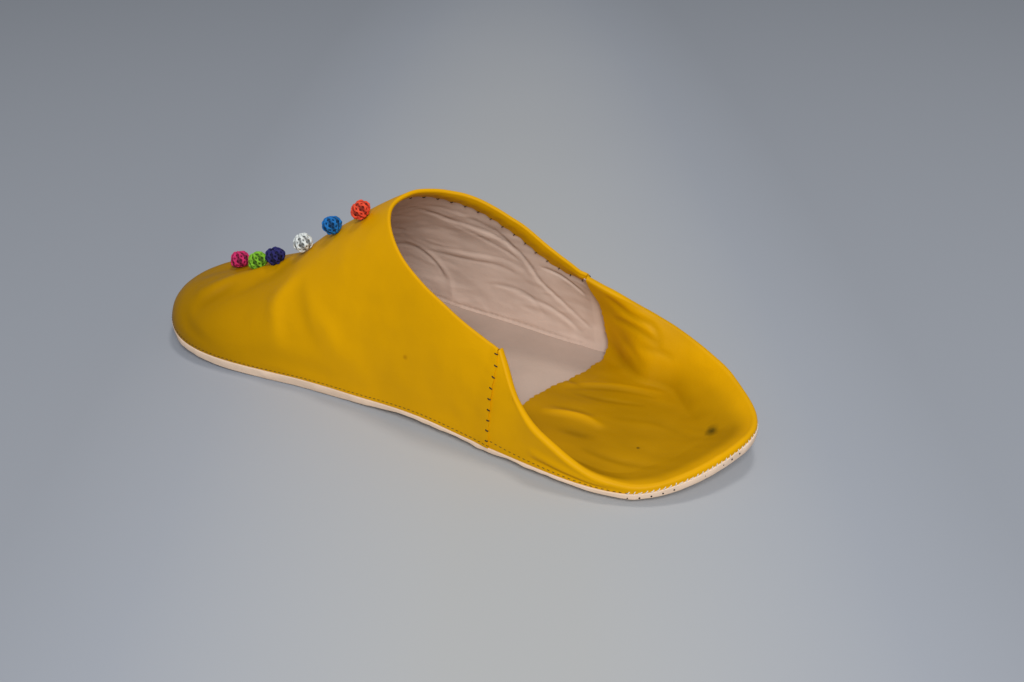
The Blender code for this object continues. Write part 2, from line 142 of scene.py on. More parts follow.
# Top fold of the quarter: station, inner and outer height, inner and outer lean as shares of the
# seam's, inner and outer slope of the folded leather in degrees, inner and outer radius of the fold
FOLD = (
    (0.00, 0.047, 0.047, 0.00, 0.00, 5.0, 5.0, 0.0011, 0.0011),
    (0.24, 0.045, 0.33, 0.10, 0.10, 5.0, 36.0, 0.0011, 0.0012),
    (0.48, 0.110, 0.53, -0.10, 0.20, 26.0, 60.0, 0.0010, 0.0010),
    (0.74, 0.38, 0.75, -0.10, 0.50, 60.0, 68.0, 0.0008, 0.0009),
    (0.88, 0.60, 0.87, 0.35, 0.76, 72.0, 78.0, 0.0008, 0.0009),
    (1.00, 1.00, 1.00, 1.00, 1.00, 84.0, 87.0, 0.0008, 0.0009),
)

# Folds of the toe: ends as shares of the length and the ball's half width, width and height as
# multiples of the fold's depth
TOE_FOLDS = (
    (0.90, 0.50, 0.78, 0.00, 2.0, 0.8),
    (0.90, 0.72, 0.82, 0.30, 2.0, -0.6),
    (0.93, 0.15, 0.86, -0.10, 3.5, -0.9),
)

# Thread knots: node, station as a share of the way from throat to toe, side as a share of the ball's
# half width, slot
KNOTS = (
    ("button_1", 0.731, -0.04, "magenta_thread"),
    ("button_2", 0.599, 0.08, "green_thread"),
    ("button_3", 0.505, 0.06, "navy_thread"),
    ("button_4", 0.356, 0.06, "white_thread"),
    ("button_5", 0.233, 0.01, "blue_thread"),
    ("button_6", 0.101, 0.00, "red_thread"),
)

# Front edge of the flap against the outer wall: share of the way down, distance behind the seam
FLAP_SETBACK = (
    (0.00, 0.0),
    (0.10, 0.0006),
    (0.30, 0.0046),
    (0.55, 0.0064),
    (0.80, 0.0080),
    (1.00, 0.0078),
)

# Front edge of the flap on the seat: station as a share of the outer seam's, side as a share of the
# ball's half width
FLAP_EDGE = (
    (0.96, -0.37),
    (1.03, -0.07),
    (1.07, 0.23),
    (1.085, 0.55),
)

# Soft creases of the leather. Each has its points as (share round, share up) of the sheet it lies on,
# its width and its height in metres. Below zero is a trough.
VAMP_CREASES = (
    (((0.395, 0.74), (0.375, 0.656), (0.342, 0.589), (0.295, 0.456)), 0.0042, 0.0009),
    (((0.335, 0.722), (0.272, 0.633), (0.218, 0.478), (0.180, 0.367)), 0.0050, 0.0007),
    (((0.382, 0.733), (0.335, 0.678), (0.268, 0.544)), 0.0036, -0.0006),
    (((0.418, 0.90), (0.375, 0.867), (0.322, 0.833)), 0.0045, 0.0004),
    (((0.422, 0.40), (0.440, 0.478), (0.458, 0.544), (0.462, 0.60), (0.462, 0.711)), 0.0038, 0.0007),
    (((0.405, 0.333), (0.418, 0.433), (0.432, 0.511)), 0.0022, -0.0007),
    (((0.405, 0.222), (0.382, 0.189), (0.352, 0.167)), 0.0026, -0.0004),
    (((0.300, 0.30), (0.240, 0.24), (0.190, 0.16)), 0.0040, -0.0003),
)
LINING_CREASES = (
    (((0.640, 0.845), (0.668, 0.839), (0.725, 0.839), (0.775, 0.851), (0.830, 0.828), (0.898, 0.667),
      (0.928, 0.506), (0.952, 0.425), (0.978, 0.322), (0.995, 0.241)), 0.0007, -0.0006),
    (((0.668, 0.815), (0.725, 0.815), (0.775, 0.825), (0.830, 0.800), (0.893, 0.645), (0.923, 0.485),
      (0.947, 0.400), (0.972, 0.300)), 0.0013, 0.0004),
    (((0.598, 0.885), (0.715, 0.828), (0.780, 0.800), (0.845, 0.736), (0.890, 0.644)),
     0.0006, -0.0005),
    (((0.712, 0.920), (0.745, 0.897), (0.788, 0.885), (0.828, 0.851), (0.852, 0.793), (0.900, 0.632)),
     0.0007, -0.0005),
    (((0.700, 0.610), (0.750, 0.517), (0.788, 0.575), (0.842, 0.609), (0.892, 0.540), (0.922, 0.448)),
     0.0018, 0.0006),
    (((0.750, 0.480), (0.790, 0.538), (0.842, 0.570), (0.885, 0.510)), 0.0008, -0.0004),
    (((0.750, 0.555), (0.790, 0.615), (0.842, 0.645), (0.892, 0.580)), 0.0008, -0.0003),
    (((0.682, 0.575), (0.732, 0.506), (0.770, 0.437), (0.800, 0.310), (0.815, 0.126), (0.812, 0.023)),
     0.0015, 0.0007),
    (((0.702, 0.437), (0.730, 0.471), (0.768, 0.414), (0.795, 0.287)), 0.0008, -0.0005),
    (((0.660, 0.600), (0.700, 0.545), (0.745, 0.520)), 0.0008, -0.0004),
    (((0.922, 0.678), (0.962, 0.724), (0.990, 0.667)), 0.0007, -0.0006),
    (((0.918, 0.241), (0.958, 0.218), (0.975, 0.046)), 0.0016, 0.0005),
    (((0.905, 0.300), (0.945, 0.280), (0.985, 0.150)), 0.0009, -0.0004),
    (((0.672, 0.632), (0.688, 0.621), (0.702, 0.609)), 0.0008, -0.0004),
    (((0.640, 0.560), (0.680, 0.500), (0.700, 0.380)), 0.0010, -0.0004),
    (((0.812, 0.023), (0.852, 0.126), (0.865, 0.046)), 0.0014, 0.0004),
    (((0.860, 0.350), (0.905, 0.330), (0.940, 0.180)), 0.0009, -0.0004),
    (((0.690, 0.060), (0.760, 0.045), (0.840, 0.035), (0.920, 0.030), (0.985, 0.030)),
     0.0006, -0.0005),
    (((0.640, 0.900), (0.690, 0.905), (0.740, 0.925)), 0.0006, -0.0004),
    (((0.610, 0.800), (0.640, 0.770), (0.680, 0.760)), 0.0006, -0.0004),
)
FLAP_CREASES = (
    (((0.039, 0.348), (0.086, 0.364), (0.128, 0.356), (0.150, 0.379)), 0.0013, -0.0005),
    (((0.045, 0.332), (0.090, 0.346), (0.132, 0.340)), 0.0016, 0.0004),
    (((0.039, 0.402), (0.119, 0.386), (0.153, 0.394)), 0.0012, -0.0005),
    (((0.045, 0.384), (0.110, 0.372), (0.145, 0.378)), 0.0014, 0.0003),
    (((0.114, 0.424), (0.161, 0.409), (0.186, 0.409)), 0.0012, -0.0004),
    (((0.052, 0.440), (0.090, 0.446), (0.125, 0.460)), 0.0015, -0.0003),
    (((0.060, 0.300), (0.120, 0.302), (0.190, 0.300)), 0.0020, -0.0003),
    (((0.905, 0.035), (0.860, 0.040), (0.815, 0.045), (0.770, 0.050)), 0.0008, -0.0006),
    (((0.905, 0.070), (0.860, 0.075), (0.815, 0.090), (0.775, 0.095)), 0.0018, 0.0006),
)

# Creases of the seat, with their points as (station, side) in metres
SEAT_CREASES = (
    (((0.0758, -0.0088), (0.0603, -0.0165), (0.0417, -0.0189)), 0.0014, 0.0003),
    (((0.0740, -0.0060), (0.0603, -0.0130), (0.0430, -0.0150)), 0.0014, -0.0003),
    (((0.0705, -0.0052), (0.0584, -0.0052), (0.0449, -0.0081)), 0.0013, -0.0003),
    (((0.0745, 0.0115), (0.0670, 0.0100), (0.0600, 0.0098), (0.0540, 0.0115)), 0.0020, 0.0011),
    (((0.0740, 0.0070), (0.0660, 0.0060), (0.0590, 0.0060)), 0.0015, -0.0004),
    (((0.0640, 0.0194), (0.0539, 0.0192)), 0.0022, -0.0005),
    (((0.0783, -0.0129), (0.0710, -0.0105)), 0.0012, -0.0003),
    (((0.0500, 0.0040), (0.0340, 0.0010), (0.0200, 0.0060)), 0.0020, -0.0002),
    (((0.0520, 0.0270), (0.0400, 0.0290), (0.0280, 0.0270)), 0.0018, -0.0004),
)

# Heights above the sole's underside: top of the turned-up edge, middle of the leather on the seat
EDGE_HEIGHT = SOLE_THICKNESS + RIM_RISE
SEAT_LEVEL = SOLE_THICKNESS + INSOLE_THICKNESS + 2 * CLEARANCE + QUARTER_WALL / 2

# Gap between a sheet's foot and the sole's edge, and the least length that something is divided by
FEATHER_GAP = 0.00005
LEAST_HALF_WIDTH, LEAST_LENGTH = 1e-5, 1e-12

# Distance at which two points of a piece are one, and the angle from which an edge is shaded sharp
MERGE_DISTANCE, SHARP_ANGLE = 1e-6, math.radians(60)

# Rear edges of the vamp: how far they stand proud, where they run back to the seam, how they wave
SEAM_PROUD, SEAM_RAMP = 0.0006, 0.008
SEAM_TRIM_FROM = 0.86
SEAM_WAVE, SEAM_WAVES, SEAM_WAVE_FULL = 0.0003, 7, 0.1

# Flap: where its outer end lies close to the wall, and how its front edge is set back and notched
HUG_FROM, HUG_TO = 0.58, 0.94
HUG_GAP, HUG_GAP_FULL = 0.0007, 0.3
HUG_FOOT = 0.0060
SETBACK_REACH = 0.045
SETBACK_NOTCHES_FROM, SETBACK_NOTCHES_FULL = 0.25, 0.5
FLAP_EDGE_START = 0.0015
FLAP_NOTCHES_FULL = 0.003
NOTCH_SPACING = 0.0031
NOTCH_UNEVEN, NOTCH_BEAT, NOTCH_POWER = 0.3, 1.7, 0.7

# Edge turned in along the collar: how it puffs up, how its stitches pinch it, how its ends taper
COLLAR_PUFF, COLLAR_PUFF_POWER = 0.0005, 0.8
COLLAR_PINCH, COLLAR_PUCKER = 0.35, 0.05
TURNED_EDGE, TURNED_EDGE_POWER = 0.0003, 3
BAND_END_SHARE, BAND_TAPER = 0.40, 0.014

# Lining: its part behind the outer seam, how deep its wrinkles go, where they begin below the collar,
# where they grow calm and the lining sinks towards that part, and how high its ridges are
LINING_REACH, LINING_REACH_ROUNDS = 0.0115, 30
LINING_SINK = 0.0004
LINING_FREE_FROM, LINING_FREE_FULL = 0.03, 0.12
REACH_FROM, REACH_CALM_TO, REACH_SUNK_TO = 0.985, 1.02, 1.005
REACH_CALM, REACH_SINK = 0.85, 0.0005
RIDGE_SHARE = 0.55

# Insole and sole
INSOLE_INSET = 0.0016
INSOLE_CURL, INSOLE_CURL_WIDTH = 0.0004, 0.006
SOLE_PROUD, SOLE_PROUD_FULL = 0.0003, 0.7
RIM_ROUND = 0.0005
RIM_LIP = 0.0001
BAND_WAVES = 0.35
TUCK_LEAST, TUCK_MOST = 0.0001, 0.8

# Stitches of each line: length, lift off the leather, and radius as a share of the sewing thread's
COLLAR_STITCH = (0.0017, 0.0006, 1.0)
SEAM_STITCH = (0.0012, 0.0005, 1.4)
VAMP_SOLE_STITCH = (0.0011, 0.0002, 0.65)
QUARTER_SOLE_STITCH = (0.0009, 0.0002, 0.65)
HEEL_STITCH = (0.0013, 0.0005, 1.0)
HEEL_SLANT, HEEL_UNEVENNESS = 0.7, 0.6
HEEL_SEWN_TO = 0.030
STITCH_SINK = 0.6

# Where the lines of sewing run, in rounds and rows of their sheets
COLLAR_STITCHES_FROM = 6
SEAM_STITCH_ROWS = slice(6, -4)
SEAM_STITCH_INSET = 0.0004
SEAM_WAY_ROUNDS = 4
SOLE_STITCH_ROW = 2

# Needle holes in the sole's edge
HOLE_LEVEL = 0.62
HOLE_RADIUS, HOLE_UNEVENNESS, HOLE_DEPTH = 0.00032, 0.3, 0.35
HOLE_LINE_POINTS = 160

# Unevenness of the hand-made sheets, with the size of its features in metres and its seed
VAMP_UNEVEN, VAMP_UNEVEN_SIZE, VAMP_SEED = 0.0005, 0.030, 1
LINING_WRINKLE_SIZE, LINING_SEED = 0.011, 2
QUARTER_UNEVEN, QUARTER_UNEVEN_SIZE, QUARTER_SEED = 0.0004, 0.018, 3
INSOLE_UNEVEN, INSOLE_UNEVEN_SIZE, INSOLE_SEED = 0.00025, 0.028, 5
BAND_WAVE_SIZE, BAND_SEED = 0.16, 7
SOLE_WAVES, SOLE_WAVE_SIZE, SOLE_SEED = 0.0004, 0.11, 8
LINING_STRETCH = (0.30, 1.0, 1.0)
QUARTER_STRETCH = (0.45, 1.0, 1.0)

# Shares of the way up at which unevenness and creases reach their full height
VAMP_FOOT_FULL = 0.15
QUARTER_CREASES_FULL, QUARTER_UNEVEN_FULL = 0.02, 0.08

# Listed creases: one in so many points of the drawn curve is kept, points that stand for each
# crease, and where in a half wave its ends lie
CREASE_THINNING, CREASE_POINTS = 10, 80
CREASE_END = 0.06

# Depths at which wrinkles of the lining and of the flap are in full shade
LINING_SHADE_DEPTH, FLAP_SHADE_DEPTH = 0.0006, 0.0010

# Painted shade on the toe, the inside of the quarter's fold and the seat; the insole's darker tone is
# partly its own and partly painted shade
TOE_PAINTED_SHADE, TOE_PAINTED_SHADE_FROM, TOE_PAINTED_SHADE_TO = 1.7, 0.60, 0.92
FOLD_INSIDE_PAINTED_SHADE, SEAT_PAINTED_SHADE = 0.5, 1.4
SEAT_SHADE_LOW, SEAT_SHADE_HIGH = 0.0004, 0.010
FOLD_SHADE_ROWS = 10
INSOLE_TONE_AND_SHADE = 0.66

# Marks on the heel quarter: place, size, turn and colour
QUARTER_SPOTS = (
    ((HEEL_BACK + 0.0152, 0.0009, 0.007), (0.0027, 0.0044, 0.009), 0.1, (0.05, 0.034, 0.002)),
    ((HEEL_BACK + 0.036, 0.0184, 0.006), (0.0009, 0.0009, 0.004), 0.0, (0.05, 0.03, 0.003)),
    ((HEEL_BACK + 0.0579, -0.0238, 0.0139), (0.0016, 0.0016, 0.0016), 0.0, (0.82, 0.50, 0.10)),
)

# Marks on the vamp
VAMP_SPOTS = (
    ((HEEL_BACK + 0.1208, 0.0339, 0.0276), (0.0016, 0.0010, 0.0014), 0.4, (0.42, 0.17, 0.0)),
)

# Smooth noise: how rough it is, how much finer each layer, how many layers, and how seeds lie apart
NOISE_ROUGHNESS, NOISE_FINER, NOISE_LAYERS = 0.8, 2.0, 3
SEED_STEPS = (13.7, 5.1, 9.3)

# Looks of the leather: features to the metre of its clouds, fibres, creases and blots, the ranges of
# noise that show, how dark or light fibres, painted shade, painted ridge highlights and marks get,
# and its fine relief
CLOUD_SCALE, FIBRE_SCALE, CREASE_SCALE, BLOT_SCALE = 38.0, 420.0, 160.0, 500.0
CLOUD_LOW, CLOUD_HIGH = 0.35, 0.68
FIBRE_LOW, FIBRE_HIGH = 0.3, 0.7
FIBRE_SHADE = 0.55
PAINTED_SHADE_TONE, PAINTED_SHADE_MOST, PAINTED_SHADE_FULL = 0.40, 0.95, -2.0
RIDGE_HIGHLIGHT, RIDGE_HIGHLIGHT_MOST = 1.25, 0.35
SPOT_EDGE, SPOT_CORE, SPOT_MOST = 1.25, 0.45, 0.88
POLISH, DULLNESS = 0.05, 0.06
PORE_STRENGTH, PORE_DEPTH = 0.35, 0.00006
CREASE_STRENGTH, CREASE_DEPTH = 0.4, 0.00035

# Looks of the thread: its twist, the painted shade of its hollows and the painted highlights of its
# crests
TWIST_SCALE, TWIST_STRENGTH, TWIST_DEPTH = 2600.0, 0.6, 0.00012
TWIST_LOW, TWIST_HIGH, TWIST_SHADE, TWIST_TINT = 0.35, 0.7, 0.75, 1.2
HOLLOW_FROM, HOLLOW_FULL, HOLLOW_MOST, HOLLOW_SHADE = 0.3, -1.0, 0.85, 0.12
CREST_FROM, CREST_FULL, CREST_MOST, CREST_HIGHLIGHT = 0.2, 1.0, 0.5, 1.8

# Thread knots: strands, how often each goes round and up and down, how far it weaves in and out, how
# uneven and flat the knot is, how close it sits, and how each one is turned and tilted
KNOT_STEPS, KNOT_SIDES = 520, 8
KNOT_STRANDS = 2
KNOT_LEADS = 4
KNOT_BIGHTS = 7
KNOT_REACH = 1.22
KNOT_WEAVE = 0.08
KNOT_INSET = 1.3
KNOT_LUMPS, KNOT_LUMP_SIZE, KNOT_SEED = 0.16, 1.2, 20
KNOT_FLATNESS = 0.84
KNOT_SEAT = 0.0002
KNOT_CORE = 0.90
KNOT_TURN, KNOT_TILT = 1.1, 0.25
KNOT_SLOPE_SHARE = 0.125

# Studio
CAMERA_TARGET = (0.0448, -0.0002, 0.0238)
SENSOR_WIDTH = 36.0
CLIP_START, CLIP_END = 0.01, 50.0
KEY_PLACE, KEY_AIM, KEY_COLOUR = (0.05, -0.42, 1.70), (0.02, 0.0, 0.02), (1.0, 0.98, 0.95)
FILL_PLACE, FILL_AIM, FILL_COLOUR = (-0.60, 1.04, 1.10), (0.05, 0.0, 0.0), (0.93, 0.96, 1.0)
KEY_SIZE, FILL_SIZE = 0.32, 0.8

# Floor, with the brighter and warmer pool that the light makes on it
FLOOR_REACH = 6.0
PATCH_SCALE, PATCH_FROM, PATCH_TO, PATCH_SHADE, PATCH_TINT = 6.0, 0.3, 0.7, 0.98, 1.02
POOL_PLACE = (-0.01, 0.107, 0.0)
POOL_SIZE = (0.19, 1.5, 1.0)
POOL_TURN = 0.47
POOL_EDGE, POOL_EDGE_FROM, POOL_EDGE_TO = 0.76, 0.15, 0.85
POOL_WARMTH = (1.06, 1.0, 0.87)
POOL_WARM_MOST, POOL_WARM_FROM, POOL_WARM_TO = 0.8, 0.6, 0.1

# Fineness of the sheets
SPAN_STEPS = 60
TANGENT_STEP = 0.002
VAMP_ROUNDS, VAMP_RISES = 400, 90
QUARTER_ROUNDS = 360
WALL_ROWS, ROLL_ROWS, SLOPE_ROWS, FOOT_ROWS, SEAT_ROWS = 24, 20, 20, 8, 60
SOLE_HALF_ROUNDS = 300
RIM_STEPS, UNDER_STEPS = 7, 9
INSOLE_ROUNDS, INSOLE_ACROSS = 200, 60
COLLAR_ARC_ROWS, COLLAR_STRIP_ROWS = 12, 16
LINING_SHORT_ROWS = 3


def smooth(rows, column, at):
    """Smooth curve through one column of a table, which never overshoots its rows."""
    knots = np.array([row[0] for row in rows])
    values = np.array([row[column] for row in rows])
    step = np.diff(knots)
    slope = np.diff(values) / step
    tangent = np.zeros(len(knots))
    for i in range(1, len(knots) - 1):
        if slope[i - 1] * slope[i] > 0:
            tangent[i] = 2 * slope[i - 1] * slope[i] / (slope[i - 1] + slope[i])
    tangent[0], tangent[-1] = slope[0], slope[-1]
    at = np.clip(at, knots[0], knots[-1])
    i = np.clip(np.searchsorted(knots, at, side="right") - 1, 0, len(step) - 1)
    t = (at - knots[i]) / step[i]
    return ((1 + 2 * t) * (1 - t) ** 2 * values[i]
            + t * (1 - t) ** 2 * step[i] * tangent[i]
            + t * t * (3 - 2 * t) * values[i + 1]
            + t * t * (t - 1) * step[i] * tangent[i + 1])


def ease(value, low, high):
    """Share from 0 to 1 as a value goes from low to high, level at both ends."""
    t = np.clip((np.asarray(value, float) - low) / (high - low), 0, 1)
    return t * t * (3 - 2 * t)


def spline(points, closed):
    """Cubic curve through points, SPAN_STEPS to a span."""
    points = np.asarray(points, float)
    if closed:
        points = np.vstack([points, points[:1]])
    count, width = points.shape
    step = np.linalg.norm(np.diff(points, axis=0), axis=1) ** 0.5
    slope = np.diff(points, axis=0) / step[:, None]
    matrix = np.eye(count)
    right = np.zeros((count, width))
    for i in range(1, count - 1):
        matrix[i, i - 1:i + 2] = step[i - 1], 2 * (step[i - 1] + step[i]), step[i]
        right[i] = 6 * (slope[i] - slope[i - 1])
    if closed:
        matrix[0, :2] = 2 * (step[-1] + step[0]), step[0]
        matrix[0, -2] = step[-1]
        right[0] = 6 * (slope[0] - slope[-1])
        matrix[-1, 0], matrix[-1, -1] = 1, -1
    bend = np.linalg.solve(matrix, right)
    parts = []
    for i in range(count - 1):
        t = np.linspace(0, step[i], SPAN_STEPS, endpoint=False)[:, None]
        start = slope[i] - step[i] * (2 * bend[i] + bend[i + 1]) / 6
        change = (bend[i + 1] - bend[i]) / (6 * step[i])
        parts.append(points[i] + t * start + t ** 2 * bend[i] / 2 + t ** 3 * change)
    return np.vstack(parts + [points[-1:]])


def lengths_along(curve):
    """Distance along a curve at each of its points."""
    return np.r_[0, np.cumsum(np.linalg.norm(np.diff(curve, axis=0), axis=1))]


def along(curve, shares):
    """Points of a curve at shares of its length."""
    length = lengths_along(curve)
    at = np.asarray(shares) * length[-1]
    return np.stack([np.interp(at, length, curve[:, k]) for k in range(curve.shape[1])], -1)


def unit(vectors):
    """Vectors at length one."""
    return vectors / np.maximum(np.linalg.norm(vectors, axis=-1), LEAST_LENGTH)[..., None]


def half_size(station):
    """Half width that the outline's shares follow, from the heel's to the ball's."""
    blend = ease(station / LENGTH, WIDTH_BLEND_FROM, WIDTH_BLEND_TO)
    return 0.5 * (HEEL_WIDTH + (BALL_WIDTH - HEEL_WIDTH) * blend)


def make_outline():
    """Closed outline from the heel round the inner side to the toe and back round the outer side."""
    rows = np.array(OUTLINE)
    stations = rows[:, 0] * LENGTH
    half = half_size(stations)
    inner = np.column_stack([stations, rows[:, 1] * half])
    outer = np.column_stack([stations, -rows[:, 2] * half])
    heel, toe = np.array([[0.0, 0.0]]), np.array([[LENGTH, TIP_OFFSET]])
    return spline(np.vstack([heel, inner, toe, outer[::-1]]), closed=True)


OUTLINE_CURVE = make_outline()
TOE_INDEX = (len(OUTLINE) + 1) * SPAN_STEPS


def widths(station):
    """Half widths of the inner and outer side at a station."""
    inner = OUTLINE_CURVE[:TOE_INDEX + 1]
    outer = OUTLINE_CURVE[:TOE_INDEX - 1:-1]
    return (np.interp(station, np.maximum.accumulate(inner[:, 0]), inner[:, 1]),
            -np.interp(station, np.maximum.accumulate(outer[:, 0]), outer[:, 1]))


def ground(station):
    """Height of the sole's underside, flat at heel and forefoot, lifted at both ends and the arch."""
    share = station / LENGTH
    toe = np.clip((share - TOE_LIFT_FROM) / (1 - TOE_LIFT_FROM), 0, 1)
    heel = np.clip(1 - share / HEEL_LIFT_TO, 0, 1)
    arch = np.clip((share - ARCH_FROM) / (ARCH_TO - ARCH_FROM), 0, 1)
    return (TOE_SPRING * toe ** TOE_LIFT_POWER + HEEL_LIFT * heel ** HEEL_LIFT_POWER
            + ARCH_LIFT * np.sin(math.pi * arch) ** 2)


def rim(station):
    """Height of the top of the sole's turned-up edge."""
    return ground(station) + SOLE_THICKNESS + RIM_RISE


def crown(station):
    """Height of the vamp's middle above the rim."""
    share = station / LENGTH
    toe = np.clip((share - TOE_ROUND_FROM) / (1 - TOE_ROUND_FROM), 0, 1)
    return INSTEP_HEIGHT * smooth(CROWN, 1, share) * np.sqrt(1 - toe ** 2)


def toe_folds(station, side):
    """Soft troughs and ridges of the toe."""
    total = 0.0
    half = BALL_WIDTH / 2
    for from_station, from_side, to_station, to_side, width, height in TOE_FOLDS:
        start = np.array([from_station * LENGTH, from_side * half])
        run = np.array([to_station * LENGTH, to_side * half]) - start
        share = ((station - start[0]) * run[0] + (side - start[1]) * run[1]) / (run @ run)
        near = np.clip(share, 0, 1)
        off = np.hypot(station - start[0] - near * run[0], side - start[1] - near * run[1])
        total = total + height * FOLD_DEPTH * np.exp(-(off / (width * FOLD_DEPTH)) ** 2)
    return total


def dome(station, side):
    """Height of the vamp's outer face above the floor."""
    inner, outer = widths(station)
    half = np.maximum(0.5 * (inner + outer), LEAST_HALF_WIDTH)
    share = np.clip(np.abs(side - 0.5 * (inner - outer)) / half, 0, 1)
    rise = np.sqrt(1 - share ** 2)
    return rim(station) + CLEARANCE + rise * (crown(station) + toe_folds(station, side))


def outline_share(station, outer):
    """Share of the outline's length at which one side reaches a station."""
    length = lengths_along(OUTLINE_CURVE)
    part = slice(TOE_INDEX, None) if outer else slice(0, TOE_INDEX + 1)
    stations, lengths = OUTLINE_CURVE[part, 0], length[part]
    if outer:
        stations, lengths = stations[::-1], lengths[::-1]
    return np.interp(station, np.maximum.accumulate(stations), lengths) / length[-1]


def feather(shares):
    """Points of the outline and the plan directions inward from them."""
    shares = np.asarray(shares)
    points = along(OUTLINE_CURVE, shares % 1.0)
    ahead = along(OUTLINE_CURVE, (shares + TANGENT_STEP) % 1.0)
    behind = along(OUTLINE_CURVE, (shares - TANGENT_STEP) % 1.0)
    run = unit(ahead - behind)
    return points, np.column_stack([run[:, 1], -run[:, 0]])


def inset(shares, distance):
    """Plan points a distance inside the outline."""
    points, inward = feather(shares)
    return points + inward * np.asarray(distance).reshape(-1, 1)


def grid_normals(grid):
    """Unit normals of a grid of points, pointing out of the shoe."""
    return unit(np.cross(np.gradient(grid, axis=1), np.gradient(grid, axis=0)))


def collar_curve(start, end):
    """Plan curve of the collar from the inner seam round the throat to the outer seam."""
    rows = np.array(COLLAR)
    stations, halves = rows[:, 0] * THROAT_AT, rows[:, 1] * BALL_WIDTH / 2

    def middle(station):
        inner, outer = widths(station)
        return COLLAR_FOLLOWS_MIDDLE * 0.5 * (inner - outer)

    there = np.column_stack([stations, middle(stations) + halves])
    back = np.column_stack([stations, middle(stations) - halves])[::-1]
    throat = np.array([[THROAT_AT, middle(THROAT_AT)]])
    return spline(np.vstack([start, there, throat, back, end]), closed=False)


def vamp_sheet(lap):
    """Outer face of the vamp, from the outline up to the collar, reaching past the seams by a lap."""
    first = outline_share(INNER_SEAM_AT + CLEARANCE / 2, outer=False)
    last = outline_share(OUTER_SEAM_AT + CLEARANCE / 2, outer=True)
    length = lengths_along(OUTLINE_CURVE)[-1]
    shares = np.linspace(first - lap / length, last + lap / length, VAMP_ROUNDS + 1)
    foot, _ = feather(shares)
    ends, inward = feather([shares[0], shares[-1]])
    start = ends[:1] + inward[:1] * INNER_SEAM_LEAN
    end = ends[-1:] + inward[-1:] * OUTER_SEAM_LEAN
    top = along(collar_curve(start, end), np.linspace(0, 1, VAMP_ROUNDS + 1))
    rise = 1 - np.cos(np.linspace(0, math.pi / 2, VAMP_RISES + 1))
    plan = foot[:, None] + (top - foot)[:, None] * rise[None, :, None]
    height = dome(plan[..., 0], plan[..., 1])
    return np.concatenate([plan, height[..., None]], -1)


def trimmed(sheet, lap):
    """Sheet with its two rear edges cut a little wavy and back to the seam at the collar."""
    up = np.linspace(0, 1, sheet.shape[1])
    wave = SEAM_WAVE * 0.5 * (1 + np.sin(2 * math.pi * SEAM_WAVES * up))
    back = ease(up, SEAM_TRIM_FROM, 1.0)
    cuts = lap * back + wave * ease(up, 0.0, SEAM_WAVE_FULL) * (1 - back)
    for j, cut in enumerate(cuts):
        row = sheet[:, j].copy()
        share = cut / lengths_along(row)[-1]
        sheet[:, j] = along(row, np.linspace(share, 1 - share, len(row)))
    return sheet


def seam(outer):
    """Station, lean and height of the collar's end above the rim at one side seam."""
    station = OUTER_SEAM_AT if outer else INNER_SEAM_AT
    lean = OUTER_SEAM_LEAN if outer else INNER_SEAM_LEAN
    half = 0.5 * sum(widths(station))
    return station, lean, crown(station) * math.sqrt(1 - (1 - lean / half) ** 2)


def fold_path(height, lean, slope, roll, bulge, hug):
    """Wall, rolled fold and slope down to the seat: distances inward and heights above the ground."""
    base = EDGE_HEIGHT + CLEARANCE
    shares = np.linspace(0, (height - roll) / height, WALL_ROWS + 1)
    lift = 1 - math.sqrt(1 - bulge ** 2)

    def wall_inward(share):
        return QUARTER_WALL / 2 + lean * (1 - math.sqrt(1 - (bulge * share) ** 2)) / lift

    path = [(wall_inward(s), base + s * height) for s in shares]
    drop = base + height - SEAT_LEVEL
    radii = roll + FOOT_RADIUS
    slope = min(slope, math.acos(max(-1.0, 1 - CURVED_SHARE * drop / radii)))
    centre, middle = path[-1][0] + roll, path[-1][1]
    for angle in np.linspace(math.pi, math.pi / 2 - slope, ROLL_ROWS + 1)[1:]:
        path.append((centre + roll * math.cos(angle), middle + roll * math.sin(angle)))
    straight = (drop - radii * (1 - math.cos(slope))) / math.sin(slope)
    inward, level = path[-1]
    for run in np.linspace(0, straight, SLOPE_ROWS + 1)[1:]:
        path.append((inward + run * math.cos(slope), level - run * math.sin(slope)))
    inward, level = path[-1]
    for angle in np.linspace(slope, 0, FOOT_ROWS + 1)[1:]:
        path.append((inward + FOOT_RADIUS * (math.sin(slope) - math.sin(angle)),
                     level - FOOT_RADIUS * (math.cos(angle) - math.cos(slope))))
    if hug > 0:
        start = WALL_ROWS + ROLL_ROWS + 1
        top = path[start - 1][1]
        close = []
        for t in np.linspace(0, 1, SLOPE_ROWS + 1)[1:]:
            level = top + (SEAT_LEVEL + HUG_FOOT - top) * t
            share = max(0.0, (level - base) / height)
            gap = HUG_GAP * float(ease(t, 0.0, HUG_GAP_FULL))
            close.append((wall_inward(share) + 2 * roll + gap, level))
        for angle in np.linspace(0, math.pi / 2, FOOT_ROWS + 1)[1:]:
            close.append((close[SLOPE_ROWS - 1][0] + HUG_FOOT * (1 - math.cos(angle)),
                          SEAT_LEVEL + HUG_FOOT * (1 - math.sin(angle))))
        path[start:] = [((1 - hug) * p[0] + hug * c[0], (1 - hug) * p[1] + hug * c[1])
                        for p, c in zip(path[start:], close)]
    return np.array(path)


def notches(length, depth):
    """How far a cut edge stands forward between its notches, at distances along it."""
    uneven = 1 - NOTCH_UNEVEN + NOTCH_UNEVEN * np.sin(length / NOTCH_SPACING * NOTCH_BEAT)
    return depth * uneven * np.abs(np.sin(math.pi * length / NOTCH_SPACING)) ** NOTCH_POWER


